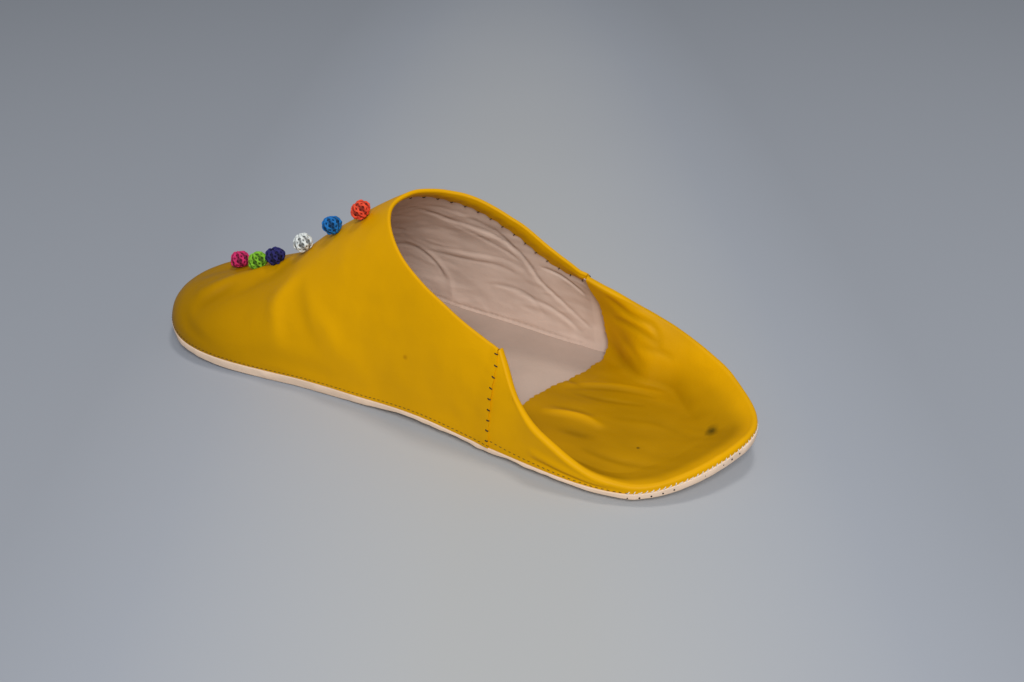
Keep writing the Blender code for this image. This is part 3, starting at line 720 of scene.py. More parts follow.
def set_back(sheet, depth):
    """Sheet with its outer end drawn back from the seam below the fold, along a notched edge."""
    top = WALL_ROWS + ROLL_ROWS // 2
    last = sheet.shape[1] - 1
    down = lengths_along(sheet[0, top:])
    for j in range(top + 1, last + 1):
        share = down[j - top] / down[-1]
        notched = ease(share, SETBACK_NOTCHES_FROM, SETBACK_NOTCHES_FULL)
        shift = smooth(FLAP_SETBACK, 1, share) - notches(down[j - top], depth) * notched
        row = sheet[:, j].copy()
        length = lengths_along(row)
        at = length + shift * np.clip(1 - length / SETBACK_REACH, 0, 1) ** 2
        sheet[:, j] = np.stack([np.interp(at, length, row[:, k]) for k in range(3)], -1)
    return sheet


def quarter_sheet(depth):
    """Middle of the quarter's leather: wall, roll, slope and the flap with its scalloped edge."""
    first = outline_share(OUTER_SEAM_AT - CLEARANCE / 2, outer=True) - 1
    last = outline_share(INNER_SEAM_AT - CLEARANCE / 2, outer=False)
    shares = np.linspace(first, last, QUARTER_ROUNDS + 1)
    foot, inward = feather(shares)
    paths = []
    for share, station in zip(shares, foot[:, 0]):
        outer = share < 0
        seam_at, seam_lean, seam_height = seam(outer)
        at = max(station, 0.0) / seam_at
        height = smooth(FOLD, 2 if outer else 1, at) * seam_height
        lean = smooth(FOLD, 4 if outer else 3, at) * seam_lean
        slope = math.radians(smooth(FOLD, 6 if outer else 5, at))
        roll = float(smooth(FOLD, 8 if outer else 7, at))
        hug = float(ease(at, HUG_FROM, HUG_TO)) if outer else 0.0
        paths.append(fold_path(height, lean, slope, roll, seam_height / crown(seam_at), hug))
    paths = np.array(paths)
    plan = foot[:, None] + inward[:, None] * paths[..., :1]
    height = ground(plan[..., 0]) + paths[..., 1]
    standing = set_back(np.concatenate([plan, height[..., None]], -1), depth)
    toe_of_slope = standing[:, -1, :2]
    start = toe_of_slope[:1] + inward[:1] * FLAP_EDGE_START
    end = toe_of_slope[-1:] + inward[-1:] * FLAP_MARGIN
    middle = np.array(FLAP_EDGE) * np.array([OUTER_SEAM_AT, BALL_WIDTH / 2])
    front = spline(np.vstack([start, middle, end]), closed=False)
    edge = along(front, (shares - first) / (last - first))
    length = lengths_along(edge)
    edge[:, 0] += notches(length, depth) * ease(length, 0.0, FLAP_NOTCHES_FULL)
    reach = np.linspace(0, 1, SEAT_ROWS + 1)[1:]
    flap = toe_of_slope[:, None] + (edge - toe_of_slope)[:, None] * reach[None, :, None]
    level = paths[:, -1, 1][:, None] + ground(flap[..., 0])
    return np.concatenate([standing, np.concatenate([flap, level[..., None]], -1)], 1)


def lining_sheet():
    """Vamp's sheet carried on behind the outer seam, where the lining shows in front of the flap."""
    sheet = vamp_sheet(0.0)
    seam_at, seam_lean, seam_height = seam(True)
    length = lengths_along(OUTLINE_CURVE)[-1]
    last = outline_share(OUTER_SEAM_AT + CLEARANCE / 2, outer=True)
    back = np.linspace(0.0, LINING_REACH, LINING_REACH_ROUNDS + 1)[1:] / length
    foot, inward = feather(last + back)
    at = foot[:, 0] / seam_at
    height = smooth(FOLD, 2, at) * seam_height
    lean = smooth(FOLD, 4, at) * seam_lean
    rise = 1 - np.cos(np.linspace(0, math.pi / 2, VAMP_RISES + 1))
    bulge = seam_lean / (0.5 * sum(widths(seam_at)))
    level = np.sqrt(1 - (1 - bulge * rise) ** 2) / math.sqrt(1 - (1 - bulge) ** 2)
    plan = foot[:, None] + inward[:, None] * (lean[:, None] * rise[None, :])[..., None]
    up = rim(plan[..., 0]) + CLEARANCE + height[:, None] * level[None, :]
    return np.concatenate([sheet, np.concatenate([plan, up[..., None]], -1)])


def at_shares(sheet, shares):
    """Points of a sheet at (share round, share up) pairs."""
    rounds, rises = sheet.shape[0] - 1, sheet.shape[1] - 1
    u = np.clip(np.asarray(shares)[:, 0], 0, 1) * rounds
    v = np.clip(np.asarray(shares)[:, 1], 0, 1) * rises
    i, j = np.minimum(u.astype(int), rounds - 1), np.minimum(v.astype(int), rises - 1)
    s, t = (u - i)[:, None], (v - j)[:, None]
    return ((1 - s) * (1 - t) * sheet[i, j] + s * (1 - t) * sheet[i + 1, j]
            + (1 - s) * t * sheet[i, j + 1] + s * t * sheet[i + 1, j + 1])


def seat_line(plan):
    """Plan points lifted to the middle of the leather on the seat."""
    return np.column_stack([plan, ground(plan[:, 0]) + SEAT_LEVEL])


def creased(sheet, creases):
    """Height that the listed creases add to each point of a sheet, fading towards their ends."""
    total = np.zeros(sheet.shape[:2])
    for shares, width, height in creases:
        drawn = spline(shares, closed=False)[::CREASE_THINNING]
        line = seat_line(drawn) if creases is SEAT_CREASES else at_shares(sheet, drawn)
        line = along(line, np.linspace(0, 1, CREASE_POINTS))
        fade = np.sin(math.pi * np.linspace(CREASE_END, 1 - CREASE_END, len(line))) ** 0.5
        low, high = line.min(0) - 3 * width, line.max(0) + 3 * width
        near = ((sheet > low) & (sheet < high)).all(-1)
        points = sheet[near]
        if not len(points):
            continue
        off = np.linalg.norm(points[:, None] - line[None], axis=2)
        closest = off.argmin(1)
        total[near] += height * fade[closest] * np.exp(-(off.min(1) / width) ** 2)
    return total


def mottle(points, size, seed, stretch=(1.0, 1.0, 1.0)):
    """Smooth noise from -1 to 1 at each point, with features of a size."""
    flat = points.reshape(-1, points.shape[-1]) / size * np.array(stretch)
    offset = Vector([seed * step for step in SEED_STEPS])
    values = [noise.fractal(Vector(p) + offset, NOISE_ROUGHNESS, NOISE_FINER, NOISE_LAYERS,
                            noise_basis="PERLIN_ORIGINAL") for p in flat]
    return np.array(values).reshape(points.shape[:-1])


def in_world(points):
    """Points moved from stations to the shared frame."""
    return points + np.array([HEEL_BACK, 0.0, 0.0])


def new_piece(name, points, faces, material, replaces=(), shade=None):
    """Mesh object at the origin that rides with the slipper, its faces out and shaded smooth."""
    data = bpy.data.meshes.new(name)
    data.from_pydata(in_world(np.asarray(points)).tolist(), [], faces)
    if shade is not None:
        layer = data.attributes.new("shade", "FLOAT", "POINT")
        layer.data.foreach_set("value", shade.astype(np.float32))
    tidy = bmesh.new()
    tidy.from_mesh(data)
    bmesh.ops.remove_doubles(tidy, verts=tidy.verts, dist=MERGE_DISTANCE)
    bmesh.ops.recalc_face_normals(tidy, faces=tidy.faces)
    tidy.to_mesh(data)
    tidy.free()
    data.shade_smooth()
    data.set_sharp_from_angle(angle=SHARP_ANGLE)
    data.materials.append(material)
    if not data.polygons:
        raise RuntimeError(f"{name} has no faces")
    made = bpy.data.objects.new(name, data)
    bpy.context.scene.collection.objects.link(made)
    return settle(made, replaces)


def settle(made, replaces=()):
    """Let a finished piece ride with the slipper and hide the solids it stands for."""
    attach(made, "root")
    if replaces:
        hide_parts(*replaces)
    return made


def wall(outer, inner):
    """Points and faces of a closed wall between two grids of points."""
    count, rise = outer.shape[:2]
    index = np.arange(count * rise).reshape(count, rise)
    back = index + count * rise

    def quads(a, b, c, d):
        return np.stack([a.ravel(), b.ravel(), c.ravel(), d.ravel()], 1)

    faces = [
        quads(index[:-1, :-1], index[1:, :-1], index[1:, 1:], index[:-1, 1:]),
        quads(back[:-1, :-1], back[:-1, 1:], back[1:, 1:], back[1:, :-1]),
    ]
    for edge, other in ((index[:, 0], back[:, 0]), (index[-1], back[-1]),
                        (index[::-1, -1], back[::-1, -1]), (index[0, ::-1], back[0, ::-1])):
        faces.append(quads(edge[:-1], other[:-1], other[1:], edge[1:]))
    points = np.concatenate([outer.reshape(-1, 3), inner.reshape(-1, 3)])
    return points, np.concatenate(faces).tolist()


class SlipperLeather(bpy.types.PropertyGroup):
    """Sizes and colours of the leather"""

    vamp: FloatProperty(
        name="Vamp leather", description="Thickness of the yellow leather of the vamp",
        default=0.0008, min=0.0004, max=0.0014, subtype="DISTANCE", unit="LENGTH")
    collar: FloatProperty(
        name="Collar thickness", description="Thickness through the edge turned in at the collar",
        default=0.0017, min=0.0016, max=0.0030, subtype="DISTANCE", unit="LENGTH")
    turned: FloatProperty(
        name="Turned edge", description="Width of the leather turned in behind the collar",
        default=0.0066, min=0.0020, max=0.0080, subtype="DISTANCE", unit="LENGTH")
    lining: FloatProperty(
        name="Lining depth", description="Depth of the lining's face behind the vamp's face",
        default=0.0015, min=0.0012, max=0.0020, subtype="DISTANCE", unit="LENGTH")
    wrinkles: FloatProperty(
        name="Lining wrinkles", description="Height of the lining's fine wrinkles",
        default=0.00022, min=0.0, max=0.001, subtype="DISTANCE", unit="LENGTH")
    lap: FloatProperty(
        name="Seam lap", description="How far the vamp reaches back over the quarter",
        default=0.0012, min=0.0, max=0.004, subtype="DISTANCE", unit="LENGTH")
    scallops: FloatProperty(
        name="Scallops", description="Depth of the scallops along the flap's front edge",
        default=0.0010, min=0.0, max=0.003, subtype="DISTANCE", unit="LENGTH")
    yellow: FloatVectorProperty(
        name="Yellow", description="Colour of the dyed leather",
        default=(0.68, 0.325, 0.0), size=3, min=0, max=1, subtype="COLOR")
    cream: FloatVectorProperty(
        name="Cream", description="Colour of the undyed leather of lining and insole",
        default=(0.68, 0.505, 0.40), size=3, min=0, max=1, subtype="COLOR")
    sole: FloatVectorProperty(
        name="Sole", description="Colour of the undyed leather of the sole",
        default=(0.80, 0.585, 0.42), size=3, min=0, max=1, subtype="COLOR")


class SlipperThread(bpy.types.PropertyGroup):
    """Sizes and colours of the thread"""

    stitch_radius: FloatProperty(
        name="Sewing thread", description="Radius of the sewing thread",
        default=0.00017, min=0.0001, max=0.0004, subtype="DISTANCE", unit="LENGTH")
    collar_spacing: FloatProperty(
        name="Collar stitches", description="Distance between the stitches of the turned collar edge",
        default=0.0056, min=0.002, max=0.01, subtype="DISTANCE", unit="LENGTH")
    seam_spacing: FloatProperty(
        name="Seam stitches", description="Distance between the stitches of the side seams",
        default=0.0038, min=0.002, max=0.01, subtype="DISTANCE", unit="LENGTH")
    sole_spacing: FloatProperty(
        name="Sole stitches", description="Distance between the stitches along the sole's edge",
        default=0.0020, min=0.001, max=0.01, subtype="DISTANCE", unit="LENGTH")
    dark: FloatVectorProperty(
        name="Dark thread", description="Colour of the waxed sewing thread",
        default=(0.035, 0.018, 0.012), size=3, min=0, max=1, subtype="COLOR")
    pale: FloatVectorProperty(
        name="Pale thread", description="Colour of the thread round the heel",
        default=(0.78, 0.74, 0.66), size=3, min=0, max=1, subtype="COLOR")
    knot_width: FloatProperty(
        name="Knot width", description="Width of a thread knot",
        default=0.0081, min=0.004, max=0.012, subtype="DISTANCE", unit="LENGTH")
    strand_radius: FloatProperty(
        name="Knot strand", description="Radius of a knot's strand",
        default=0.00043, min=0.0002, max=0.001, subtype="DISTANCE", unit="LENGTH")
    seed: IntProperty(name="Seed", description="Seed of the stitches' unevenness", default=4, min=0)


THREAD_COLOURS = {
    "magenta_thread": (0.42, 0.014, 0.085),
    "green_thread": (0.15, 0.34, 0.015),
    "navy_thread": (0.014, 0.012, 0.085),
    "white_thread": (0.52, 0.53, 0.50),
    "blue_thread": (0.006, 0.11, 0.32),
    "red_thread": (0.66, 0.055, 0.02),
}


def give(tree, socket, value):
    """Set an input to a value, or link it to another node's output."""
    if isinstance(value, bpy.types.NodeSocket):
        tree.links.new(value, socket)
    else:
        socket.default_value = value


def add(tree, kind, inputs=None, **properties):
    """New node with its properties and inputs set, where an input may be another node's output."""
    made = tree.nodes.new(kind)
    for name, value in properties.items():
        setattr(made, name, value)
    for name, value in (inputs or {}).items():
        give(tree, made.inputs[name], value)
    return made


def maths(tree, operation, first, second):
    """Result of one operation on two numbers."""
    return add(tree, "ShaderNodeMath", {0: first, 1: second}, operation=operation).outputs[0]


def blend(tree, share, first, second):
    """Colour between two colours."""
    return add(tree, "ShaderNodeMix", {0: share, 6: first, 7: second}, data_type="RGBA").outputs[2]


def span(tree, value, low, high, to_low, to_high):
    """Value carried from one range to another and held there."""
    ranges = {"Value": value, "From Min": low, "From Max": high, "To Min": to_low, "To Max": to_high}
    return add(tree, "ShaderNodeMapRange", ranges).outputs["Result"]


def noise_over(tree, place, scale, detail, **more):
    """Soft noise over a piece, with its features to the metre."""
    return add(tree, "ShaderNodeTexNoise",
               {"Vector": place, "Scale": scale, "Detail": detail, **more}).outputs["Fac"]


def far_from(tree, place, centre, size, turn):
    """Distance from a centre, in half sizes of an oval that is turned about the vertical."""
    moved = add(tree, "ShaderNodeMapping",
                {"Vector": place, "Location": centre, "Scale": size, "Rotation": (0.0, 0.0, turn)},
                vector_type="TEXTURE").outputs["Vector"]
    return add(tree, "ShaderNodeVectorMath", {0: moved}, operation="LENGTH").outputs["Value"]


def new_material(name):
    """Material with its node tree, its shader and the places on the piece."""
    material = bpy.data.materials.new(name)
    material.use_nodes = True
    tree = material.node_tree
    place = add(tree, "ShaderNodeTexCoord").outputs["Object"]
    return material, tree, tree.nodes["Principled BSDF"], place


def shade_of(colour, factor):
    """Colour made lighter or darker, with its alpha."""
    return (*(min(1.0, c * factor) for c in colour), 1.0)


def leather(name, colour, roughness, grain, mottling, spots=()):
    """Leather with grain, uneven dye, painted shade in troughs and on places the shade attribute
    marks, and painted highlights on ridges; spots are (place, size, turn, colour).
    """
    material, tree, shader, place = new_material(name)
    clouds = noise_over(tree, place, CLOUD_SCALE, 4.0)
    fibres = noise_over(tree, place, FIBRE_SCALE, 3.0)
    dyed = blend(tree, span(tree, clouds, CLOUD_LOW, CLOUD_HIGH, 0.0, 1.0),
                 shade_of(colour, 1 - mottling), shade_of(colour, 1 + mottling))
    dyed = blend(tree, span(tree, fibres, FIBRE_LOW, FIBRE_HIGH, 0.0, 0.5 * mottling), dyed,
                 shade_of(colour, FIBRE_SHADE))
    shade = add(tree, "ShaderNodeAttribute", attribute_name="shade").outputs["Fac"]
    # Painted shade where the shade attribute is below zero, painted highlight on ridges where it is
    # above zero
    dyed = blend(tree, span(tree, shade, 0.0, PAINTED_SHADE_FULL, 0.0, PAINTED_SHADE_MOST), dyed,
                 shade_of(colour, PAINTED_SHADE_TONE))
    dyed = blend(tree, span(tree, shade, 0.0, 1.0, 0.0, RIDGE_HIGHLIGHT_MOST), dyed,
                 shade_of(colour, RIDGE_HIGHLIGHT))
    for centre, size, turn, spot_colour in spots:
        blots = noise_over(tree, place, BLOT_SCALE, 2.0)
        away = far_from(tree, place, centre, size, turn)
        edge = add(tree, "ShaderNodeMath", {0: blots, 1: 0.5, 2: away},
                   operation="MULTIPLY_ADD").outputs[0]
        dyed = blend(tree, span(tree, edge, SPOT_EDGE, SPOT_CORE, 0.0, SPOT_MOST), dyed,
                     (*spot_colour, 1.0))
    give(tree, shader.inputs["Base Color"], dyed)
    give(tree, shader.inputs["Roughness"],
         span(tree, fibres, FIBRE_LOW, FIBRE_HIGH, roughness - POLISH, roughness + DULLNESS))
    cells = add(tree, "ShaderNodeTexVoronoi", {"Vector": place, "Scale": grain}).outputs["Distance"]
    pores = add(tree, "ShaderNodeBump",
                {"Height": cells, "Strength": PORE_STRENGTH, "Distance": PORE_DEPTH})
    creasing = noise_over(tree, place, CREASE_SCALE, 5.0, Roughness=0.62, Distortion=0.6)
    soft = add(tree, "ShaderNodeBump",
               {"Height": creasing, "Strength": CREASE_STRENGTH, "Distance": CREASE_DEPTH,
                "Normal": pores.outputs["Normal"]})
    give(tree, shader.inputs["Normal"], soft.outputs["Normal"])
    return material, shader


def yellow_leather(name, colour, spots=()):
    """Dyed and polished leather of the upper."""
    material, shader = leather(name, colour, roughness=0.46, grain=1500.0, mottling=0.035,
                               spots=spots)
    shader.inputs["Specular IOR Level"].default_value = 0.06
    return material


def cream_leather(name, colour):
    """Undyed leather with its soft flesh side out."""
    material, shader = leather(name, colour, roughness=0.78, grain=2200.0, mottling=0.06)
    shader.inputs["Specular IOR Level"].default_value = 0.25
    return material


def thread_material(name, colour):
    """Twisted thread, with painted shade in its hollows and painted highlights where it stands out.
    """
    material, tree, shader, place = new_material(name)
    fibres = noise_over(tree, place, TWIST_SCALE, 3.0)
    tint = blend(tree, span(tree, fibres, TWIST_LOW, TWIST_HIGH, 0.0, 1.0),
                 shade_of(colour, TWIST_SHADE), shade_of(colour, TWIST_TINT))
    shade = add(tree, "ShaderNodeAttribute", attribute_name="shade").outputs["Fac"]
    # Painted shade in hollows and painted highlight on crests, from the shade attribute
    tint = blend(tree, span(tree, shade, HOLLOW_FROM, HOLLOW_FULL, 0.0, HOLLOW_MOST), tint,
                 shade_of(colour, HOLLOW_SHADE))
    tint = blend(tree, span(tree, shade, CREST_FROM, CREST_FULL, 0.0, CREST_MOST), tint,
                 shade_of(colour, CREST_HIGHLIGHT))
    give(tree, shader.inputs["Base Color"], tint)
    shader.inputs["Roughness"].default_value = 0.82
    shader.inputs["Specular IOR Level"].default_value = 0.3
    bump = add(tree, "ShaderNodeBump",
               {"Height": fibres, "Strength": TWIST_STRENGTH, "Distance": TWIST_DEPTH})
    give(tree, shader.inputs["Normal"], bump.outputs["Normal"])
    return material


def modelled(sheet, proud):
    """Vamp's sheet with its creases and unevenness, standing proud by a height at each place."""
    relief = np.zeros(sheet.shape[:2])
    relief[:VAMP_ROUNDS + 1] = creased(sheet[:VAMP_ROUNDS + 1], VAMP_CREASES)
    wander = VAMP_UNEVEN * mottle(sheet, VAMP_UNEVEN_SIZE, VAMP_SEED)
    foot = ease(np.linspace(0, 1, VAMP_RISES + 1), 0.0, VAMP_FOOT_FULL)[None, :]
    face = sheet + grid_normals(sheet) * ((relief + wander) * foot + proud)[..., None]
    face[:, 0, 2] = rim(sheet[:, 0, 0]) + FEATHER_GAP
    return face, relief


def vamp_face(sizes):
    """Outer face of the vamp, standing proud where it laps over the quarter."""
    sheet = trimmed(vamp_sheet(sizes.lap), sizes.lap)
    across = lengths_along(sheet[:, 0])
    from_seam = np.minimum(across, across[-1] - across)
    return modelled(sheet, SEAM_PROUD * (1 - ease(from_seam, 0.0, SEAM_RAMP))[:, None])


def strip_rows(sheet, normals, widths_back, count):
    """Points and normals of a sheet going back down from its collar by a width at each place."""
    places, facing = [], []
    for row, normal, width in zip(sheet[:, ::-1], normals[:, ::-1], widths_back):
        length = lengths_along(row)
        at = np.linspace(0, width, count)
        places.append([np.interp(at, length, row[:, k]) for k in range(3)])
        facing.append([np.interp(at, length, normal[:, k]) for k in range(3)])
    return np.array(places).transpose(0, 2, 1), unit(np.array(facing).transpose(0, 2, 1))


def collar_widths(face, sizes, threads):
    """Width of the turned edge at each place, drawn in a little by each stitch."""
    length = lengths_along(face[:, -1])
    puckers = np.cos(2 * math.pi * length / threads.collar_spacing)
    from_end = np.minimum(length, length[-1] - length)
    taper = BAND_END_SHARE + (1 - BAND_END_SHARE) * ease(from_end, 0.0, BAND_TAPER)
    return sizes.turned * (1 - COLLAR_PUCKER * puckers) * taper


def collar_depths(face, sizes, threads):
    """Depth of the turned edge behind the vamp's face, puffed up and pinched in at each stitch."""
    across = np.linspace(0, 1, COLLAR_STRIP_ROWS)[None, :]
    length = lengths_along(face[:, -1])[:, None]
    at_stitch = 0.5 + 0.5 * np.cos(2 * math.pi * length / threads.collar_spacing)
    pinch = 1 - COLLAR_PINCH * at_stitch * across
    puffed = sizes.collar + COLLAR_PUFF * np.sin(math.pi * across ** COLLAR_PUFF_POWER) * pinch
    return puffed + (sizes.lining + TURNED_EDGE - sizes.collar) * across ** TURNED_EDGE_POWER


def build_vamp(sizes, threads):
    """Yellow leather of the vamp, turned in along the collar."""
    face, relief = vamp_face(sizes)
    normals = grid_normals(face)
    edge = unit(face[:, -1] - face[:, -2])
    facing = normals[:, -1]
    centre = face[:, -1] - facing * sizes.collar / 2
    angles = np.linspace(0, math.pi, COLLAR_ARC_ROWS + 1)[1:-1, None]

    def around(radius):
        ways = np.cos(angles) * facing[:, None] + np.sin(angles) * edge[:, None]
        return centre[:, None] + radius * ways

    widths_back = collar_widths(face, sizes, threads)
    strip, strip_facing = strip_rows(face, normals, widths_back, COLLAR_STRIP_ROWS)
    depth = collar_depths(face, sizes, threads)
    outer = np.concatenate([face, around(sizes.collar / 2),
                            strip - strip_facing * depth[..., None]], 1)
    under = sizes.lining + FEATHER_GAP
    inner = np.concatenate([face - normals * sizes.vamp, around(sizes.collar / 2 - sizes.vamp),
                            strip - strip_facing * under], 1)
    inner[:, 0, 2] = outer[:, 0, 2]
    points, faces = wall(outer, inner)
    # Painted shade and highlight: crease troughs darker, crease ridges lighter, and the toe darker
    # towards its tip
    shade = np.zeros(len(points))
    painted_shade = TOE_PAINTED_SHADE * ease(face[..., 0] / LENGTH, TOE_PAINTED_SHADE_FROM, TOE_PAINTED_SHADE_TO)
    shown = shade[:outer.shape[0] * outer.shape[1]].reshape(outer.shape[:2])
    shown[:, :face.shape[1]] = relief / FOLD_DEPTH - painted_shade
    material = yellow_leather("vamp_yellow", sizes.yellow, VAMP_SPOTS)
    return new_piece("vamp", points, faces, material, ("upper_vamp",), shade)


def lining_face(sizes):
    """Vamp's sheet, its normals, the lining's visible face behind it, and that face's wrinkles."""
    face, _ = modelled(lining_sheet(), 0.0)
    normals = grid_normals(face)
    face, normals = face[:, :-LINING_SHORT_ROWS], normals[:, :-LINING_SHORT_ROWS]
    creases = creased(face[:VAMP_ROUNDS + 1], LINING_CREASES)
    creases = np.where(creases > 0, RIDGE_SHARE * creases, creases)
    creases = np.concatenate([creases, np.zeros((LINING_REACH_ROUNDS, face.shape[1]))])
    stretched = mottle(face, LINING_WRINKLE_SIZE, LINING_SEED, LINING_STRETCH)
    wrinkles = sizes.wrinkles * (1 - 2 * np.abs(stretched))
    up = np.linspace(1, 0, face.shape[1])[None, :]
    round_share = np.arange(len(face))[:, None] / VAMP_ROUNDS
    free = (ease(up, LINING_FREE_FROM, LINING_FREE_FULL)
            * (1 - REACH_CALM * ease(round_share, REACH_FROM, REACH_CALM_TO)))
    relief = np.clip((creases + wrinkles) * free, -LINING_SINK, None)
    sunk = REACH_SINK * ease(round_share, REACH_FROM, REACH_SUNK_TO)
    inner = face - normals * (sizes.lining + relief + sunk)[..., None]
    return face, normals, inner, relief


def build_lining(sizes):
    """Cream lining of the vamp."""
    face, normals, inner, relief = lining_face(sizes)
    outer = face - normals * (sizes.vamp + CLEARANCE / 3)
    inner[:, 0, 2] = outer[:, 0, 2] = rim(face[:, 0, 0]) + FEATHER_GAP
    points, faces = wall(outer, inner)
    shade = np.zeros(len(points))
    shade[-inner.shape[0] * inner.shape[1]:] = (relief / LINING_SHADE_DEPTH).ravel()
    material = cream_leather("lining_cream", sizes.cream)
    return new_piece("vamp_lining", points, faces, material, (), shade)


def quarter_faces(sizes):
    """Middle, normals and relief of the quarter's leather."""
    middle = quarter_sheet(sizes.scallops)
    normals = grid_normals(middle)
    relief = creased(middle, FLAP_CREASES) + creased(middle, SEAT_CREASES)
    up = np.linspace(0, 1, middle.shape[1])[None, :]
    uneven = QUARTER_UNEVEN * mottle(middle, QUARTER_UNEVEN_SIZE, QUARTER_SEED, QUARTER_STRETCH)
    relief = (relief * ease(up, 0.0, QUARTER_CREASES_FULL)
              + uneven * ease(up, 0.0, QUARTER_UNEVEN_FULL))
    return middle + normals * relief[..., None], normals, relief


def build_quarter(sizes):
    """Yellow heel quarter with its top folded in."""
    middle, normals, relief = quarter_faces(sizes)
    outer = middle + normals * QUARTER_WALL / 2
    inner = middle - normals * QUARTER_WALL / 2
    outer[:, 0, 2] = inner[:, 0, 2] = rim(middle[:, 0, 0]) + FEATHER_GAP
    points, faces = wall(outer, inner)
    # Painted shade and highlight: crease troughs darker, ridges lighter, the inside of the fold
    # darker and the seat darker still
    shade = np.zeros(len(points))
    rolled = WALL_ROWS + ROLL_ROWS
    inside = ease(np.arange(outer.shape[1]), rolled, rolled + FOLD_SHADE_ROWS)[None, :]
    low = 1 - ease(middle[..., 2] - ground(middle[..., 0]) - SEAT_LEVEL, SEAT_SHADE_LOW, SEAT_SHADE_HIGH)
    painted_shade = inside * (FOLD_INSIDE_PAINTED_SHADE + (SEAT_PAINTED_SHADE - FOLD_INSIDE_PAINTED_SHADE) * low)
    shade[:outer.shape[0] * outer.shape[1]] = (relief / FLAP_SHADE_DEPTH - painted_shade).ravel()
    material = yellow_leather("quarter_yellow", sizes.yellow, QUARTER_SPOTS)
    return new_piece("quarter", points, faces, material, ("upper_quarter",),
                     shade)


def rung_plan(distance, rounds, across):
    """Plan grid from side to side inside the outline, heel to toe, and its shares across."""
    toe = outline_share(LENGTH, outer=False)
    along_there = 0.5 - 0.5 * np.cos(np.linspace(0, math.pi, rounds + 1))
    inner = inset(toe * along_there, distance)
    outer = inset(1 - (1 - toe) * along_there, distance)
    steps = 0.5 - 0.5 * np.cos(np.linspace(0, math.pi, across + 1))
    return inner[:, None] + (outer - inner)[:, None] * steps[None, :, None], steps


def build_insole(sizes):
    """Cream insole, its edge curling up a little against the upper."""
    plan, steps = rung_plan(INSOLE_INSET, INSOLE_ROUNDS, INSOLE_ACROSS)
    station = plan[..., 0]
    floor = ground(station) + SOLE_THICKNESS + CLEARANCE
    nearest = np.where((steps < 0.5)[None, :, None], plan[:, :1], plan[:, -1:])
    curl = INSOLE_CURL * (1 - ease(np.linalg.norm(plan - nearest, axis=2), 0.0, INSOLE_CURL_WIDTH))
    flat = np.concatenate([plan, np.zeros((*plan.shape[:2], 1))], -1)
    uneven = INSOLE_UNEVEN * mottle(flat, INSOLE_UNEVEN_SIZE, INSOLE_SEED)
    top = np.concatenate([plan, (floor + INSOLE_THICKNESS + curl + uneven)[..., None]], -1)
    bottom = np.concatenate([plan, (floor + curl)[..., None]], -1)
    points, faces = wall(top, bottom)
    # The cream is darkened for the insole, partly for its own greyer tone and partly as painted shade
    material = cream_leather("insole_cream", [c * INSOLE_TONE_AND_SHADE for c in sizes.cream])
    return new_piece("insole_leather", points, faces, material, ("insole",))


def sole_section(tuck):
    """Distances inside the outline and heights, from the floor inside over the edge to underneath."""
    turn = np.linspace(0, math.pi / 2, RIM_STEPS)
    drop = EDGE_HEIGHT - tuck - 2 * RIM_ROUND
    path = [(RIM_WALL, SOLE_THICKNESS), (RIM_WALL, EDGE_HEIGHT - RIM_LIP)]
    path += [(RIM_ROUND * (1 - math.sin(a)), EDGE_HEIGHT - RIM_ROUND * (1 - math.cos(a)))
             for a in turn]
    path += [(0.0, EDGE_HEIGHT - RIM_ROUND - s * drop) for s in np.linspace(0, 1, RIM_STEPS)[1:]]
    path += [(RIM_ROUND * (1 - math.cos(a)), tuck + RIM_ROUND * (1 - math.sin(a))) for a in turn[1:]]
    path += [(RIM_ROUND + s * (TURN_WIDTH - RIM_ROUND), tuck * (1 - s) ** 2)
             for s in np.linspace(0, 1, UNDER_STEPS)[1:]]
    return np.array(path)


def build_sole(sizes):
    """Cream sole with its edge turned up all round."""
    toe = outline_share(LENGTH, outer=False)
    shares = np.r_[np.linspace(0, toe, SOLE_HALF_ROUNDS + 1),
                   np.linspace(toe, 1, SOLE_HALF_ROUNDS + 1)[1:-1]]
    foot, inward = feather(shares)
    angle = 2 * math.pi * shares
    ring = np.column_stack([np.cos(angle), np.sin(angle), 0 * angle])
    waves = 1 + BAND_WAVES * mottle(ring, BAND_WAVE_SIZE, BAND_SEED)
    tuck = EDGE_HEIGHT * (1 - smooth(BAND, 1, foot[:, 0] / LENGTH)) * waves + TUCK_LEAST
    sections = np.array([sole_section(min(t, EDGE_HEIGHT * TUCK_MOST)) for t in tuck])
    bulge = SOLE_WAVES * mottle(ring, SOLE_WAVE_SIZE, SOLE_SEED)
    level = np.clip(sections[..., 1] / EDGE_HEIGHT, 0, 1)
    out = bulge[:, None] * np.sin(math.pi * level) + SOLE_PROUD * ease(level, 0.0, SOLE_PROUD_FULL)
    plan = foot[:, None] + inward[:, None] * (sections[..., 0] - out)[..., None]
    points = np.concatenate([plan, (ground(plan[..., 0]) + sections[..., 1])[..., None]], -1)
    count, rows = points.shape[:2]
    index = np.arange(count * rows).reshape(count, rows)
    after = np.roll(index, -1, axis=0)
    faces = np.stack([index[:, :-1].ravel(), after[:, :-1].ravel(), after[:, 1:].ravel(),
                      index[:, 1:].ravel()], 1).tolist()
    for loop in (index[:, 0], index[:, -1]):
        for i in range(count // 2):
            corners = [loop[i], loop[i + 1], loop[(count - i - 1) % count], loop[(count - i) % count]]
            faces.append([int(c) for c in dict.fromkeys(corners)])
    material = cream_leather("sole_cream", sizes.sole)
    return new_piece("sole", points.reshape(-1, 3), faces, material, ("outsole",))


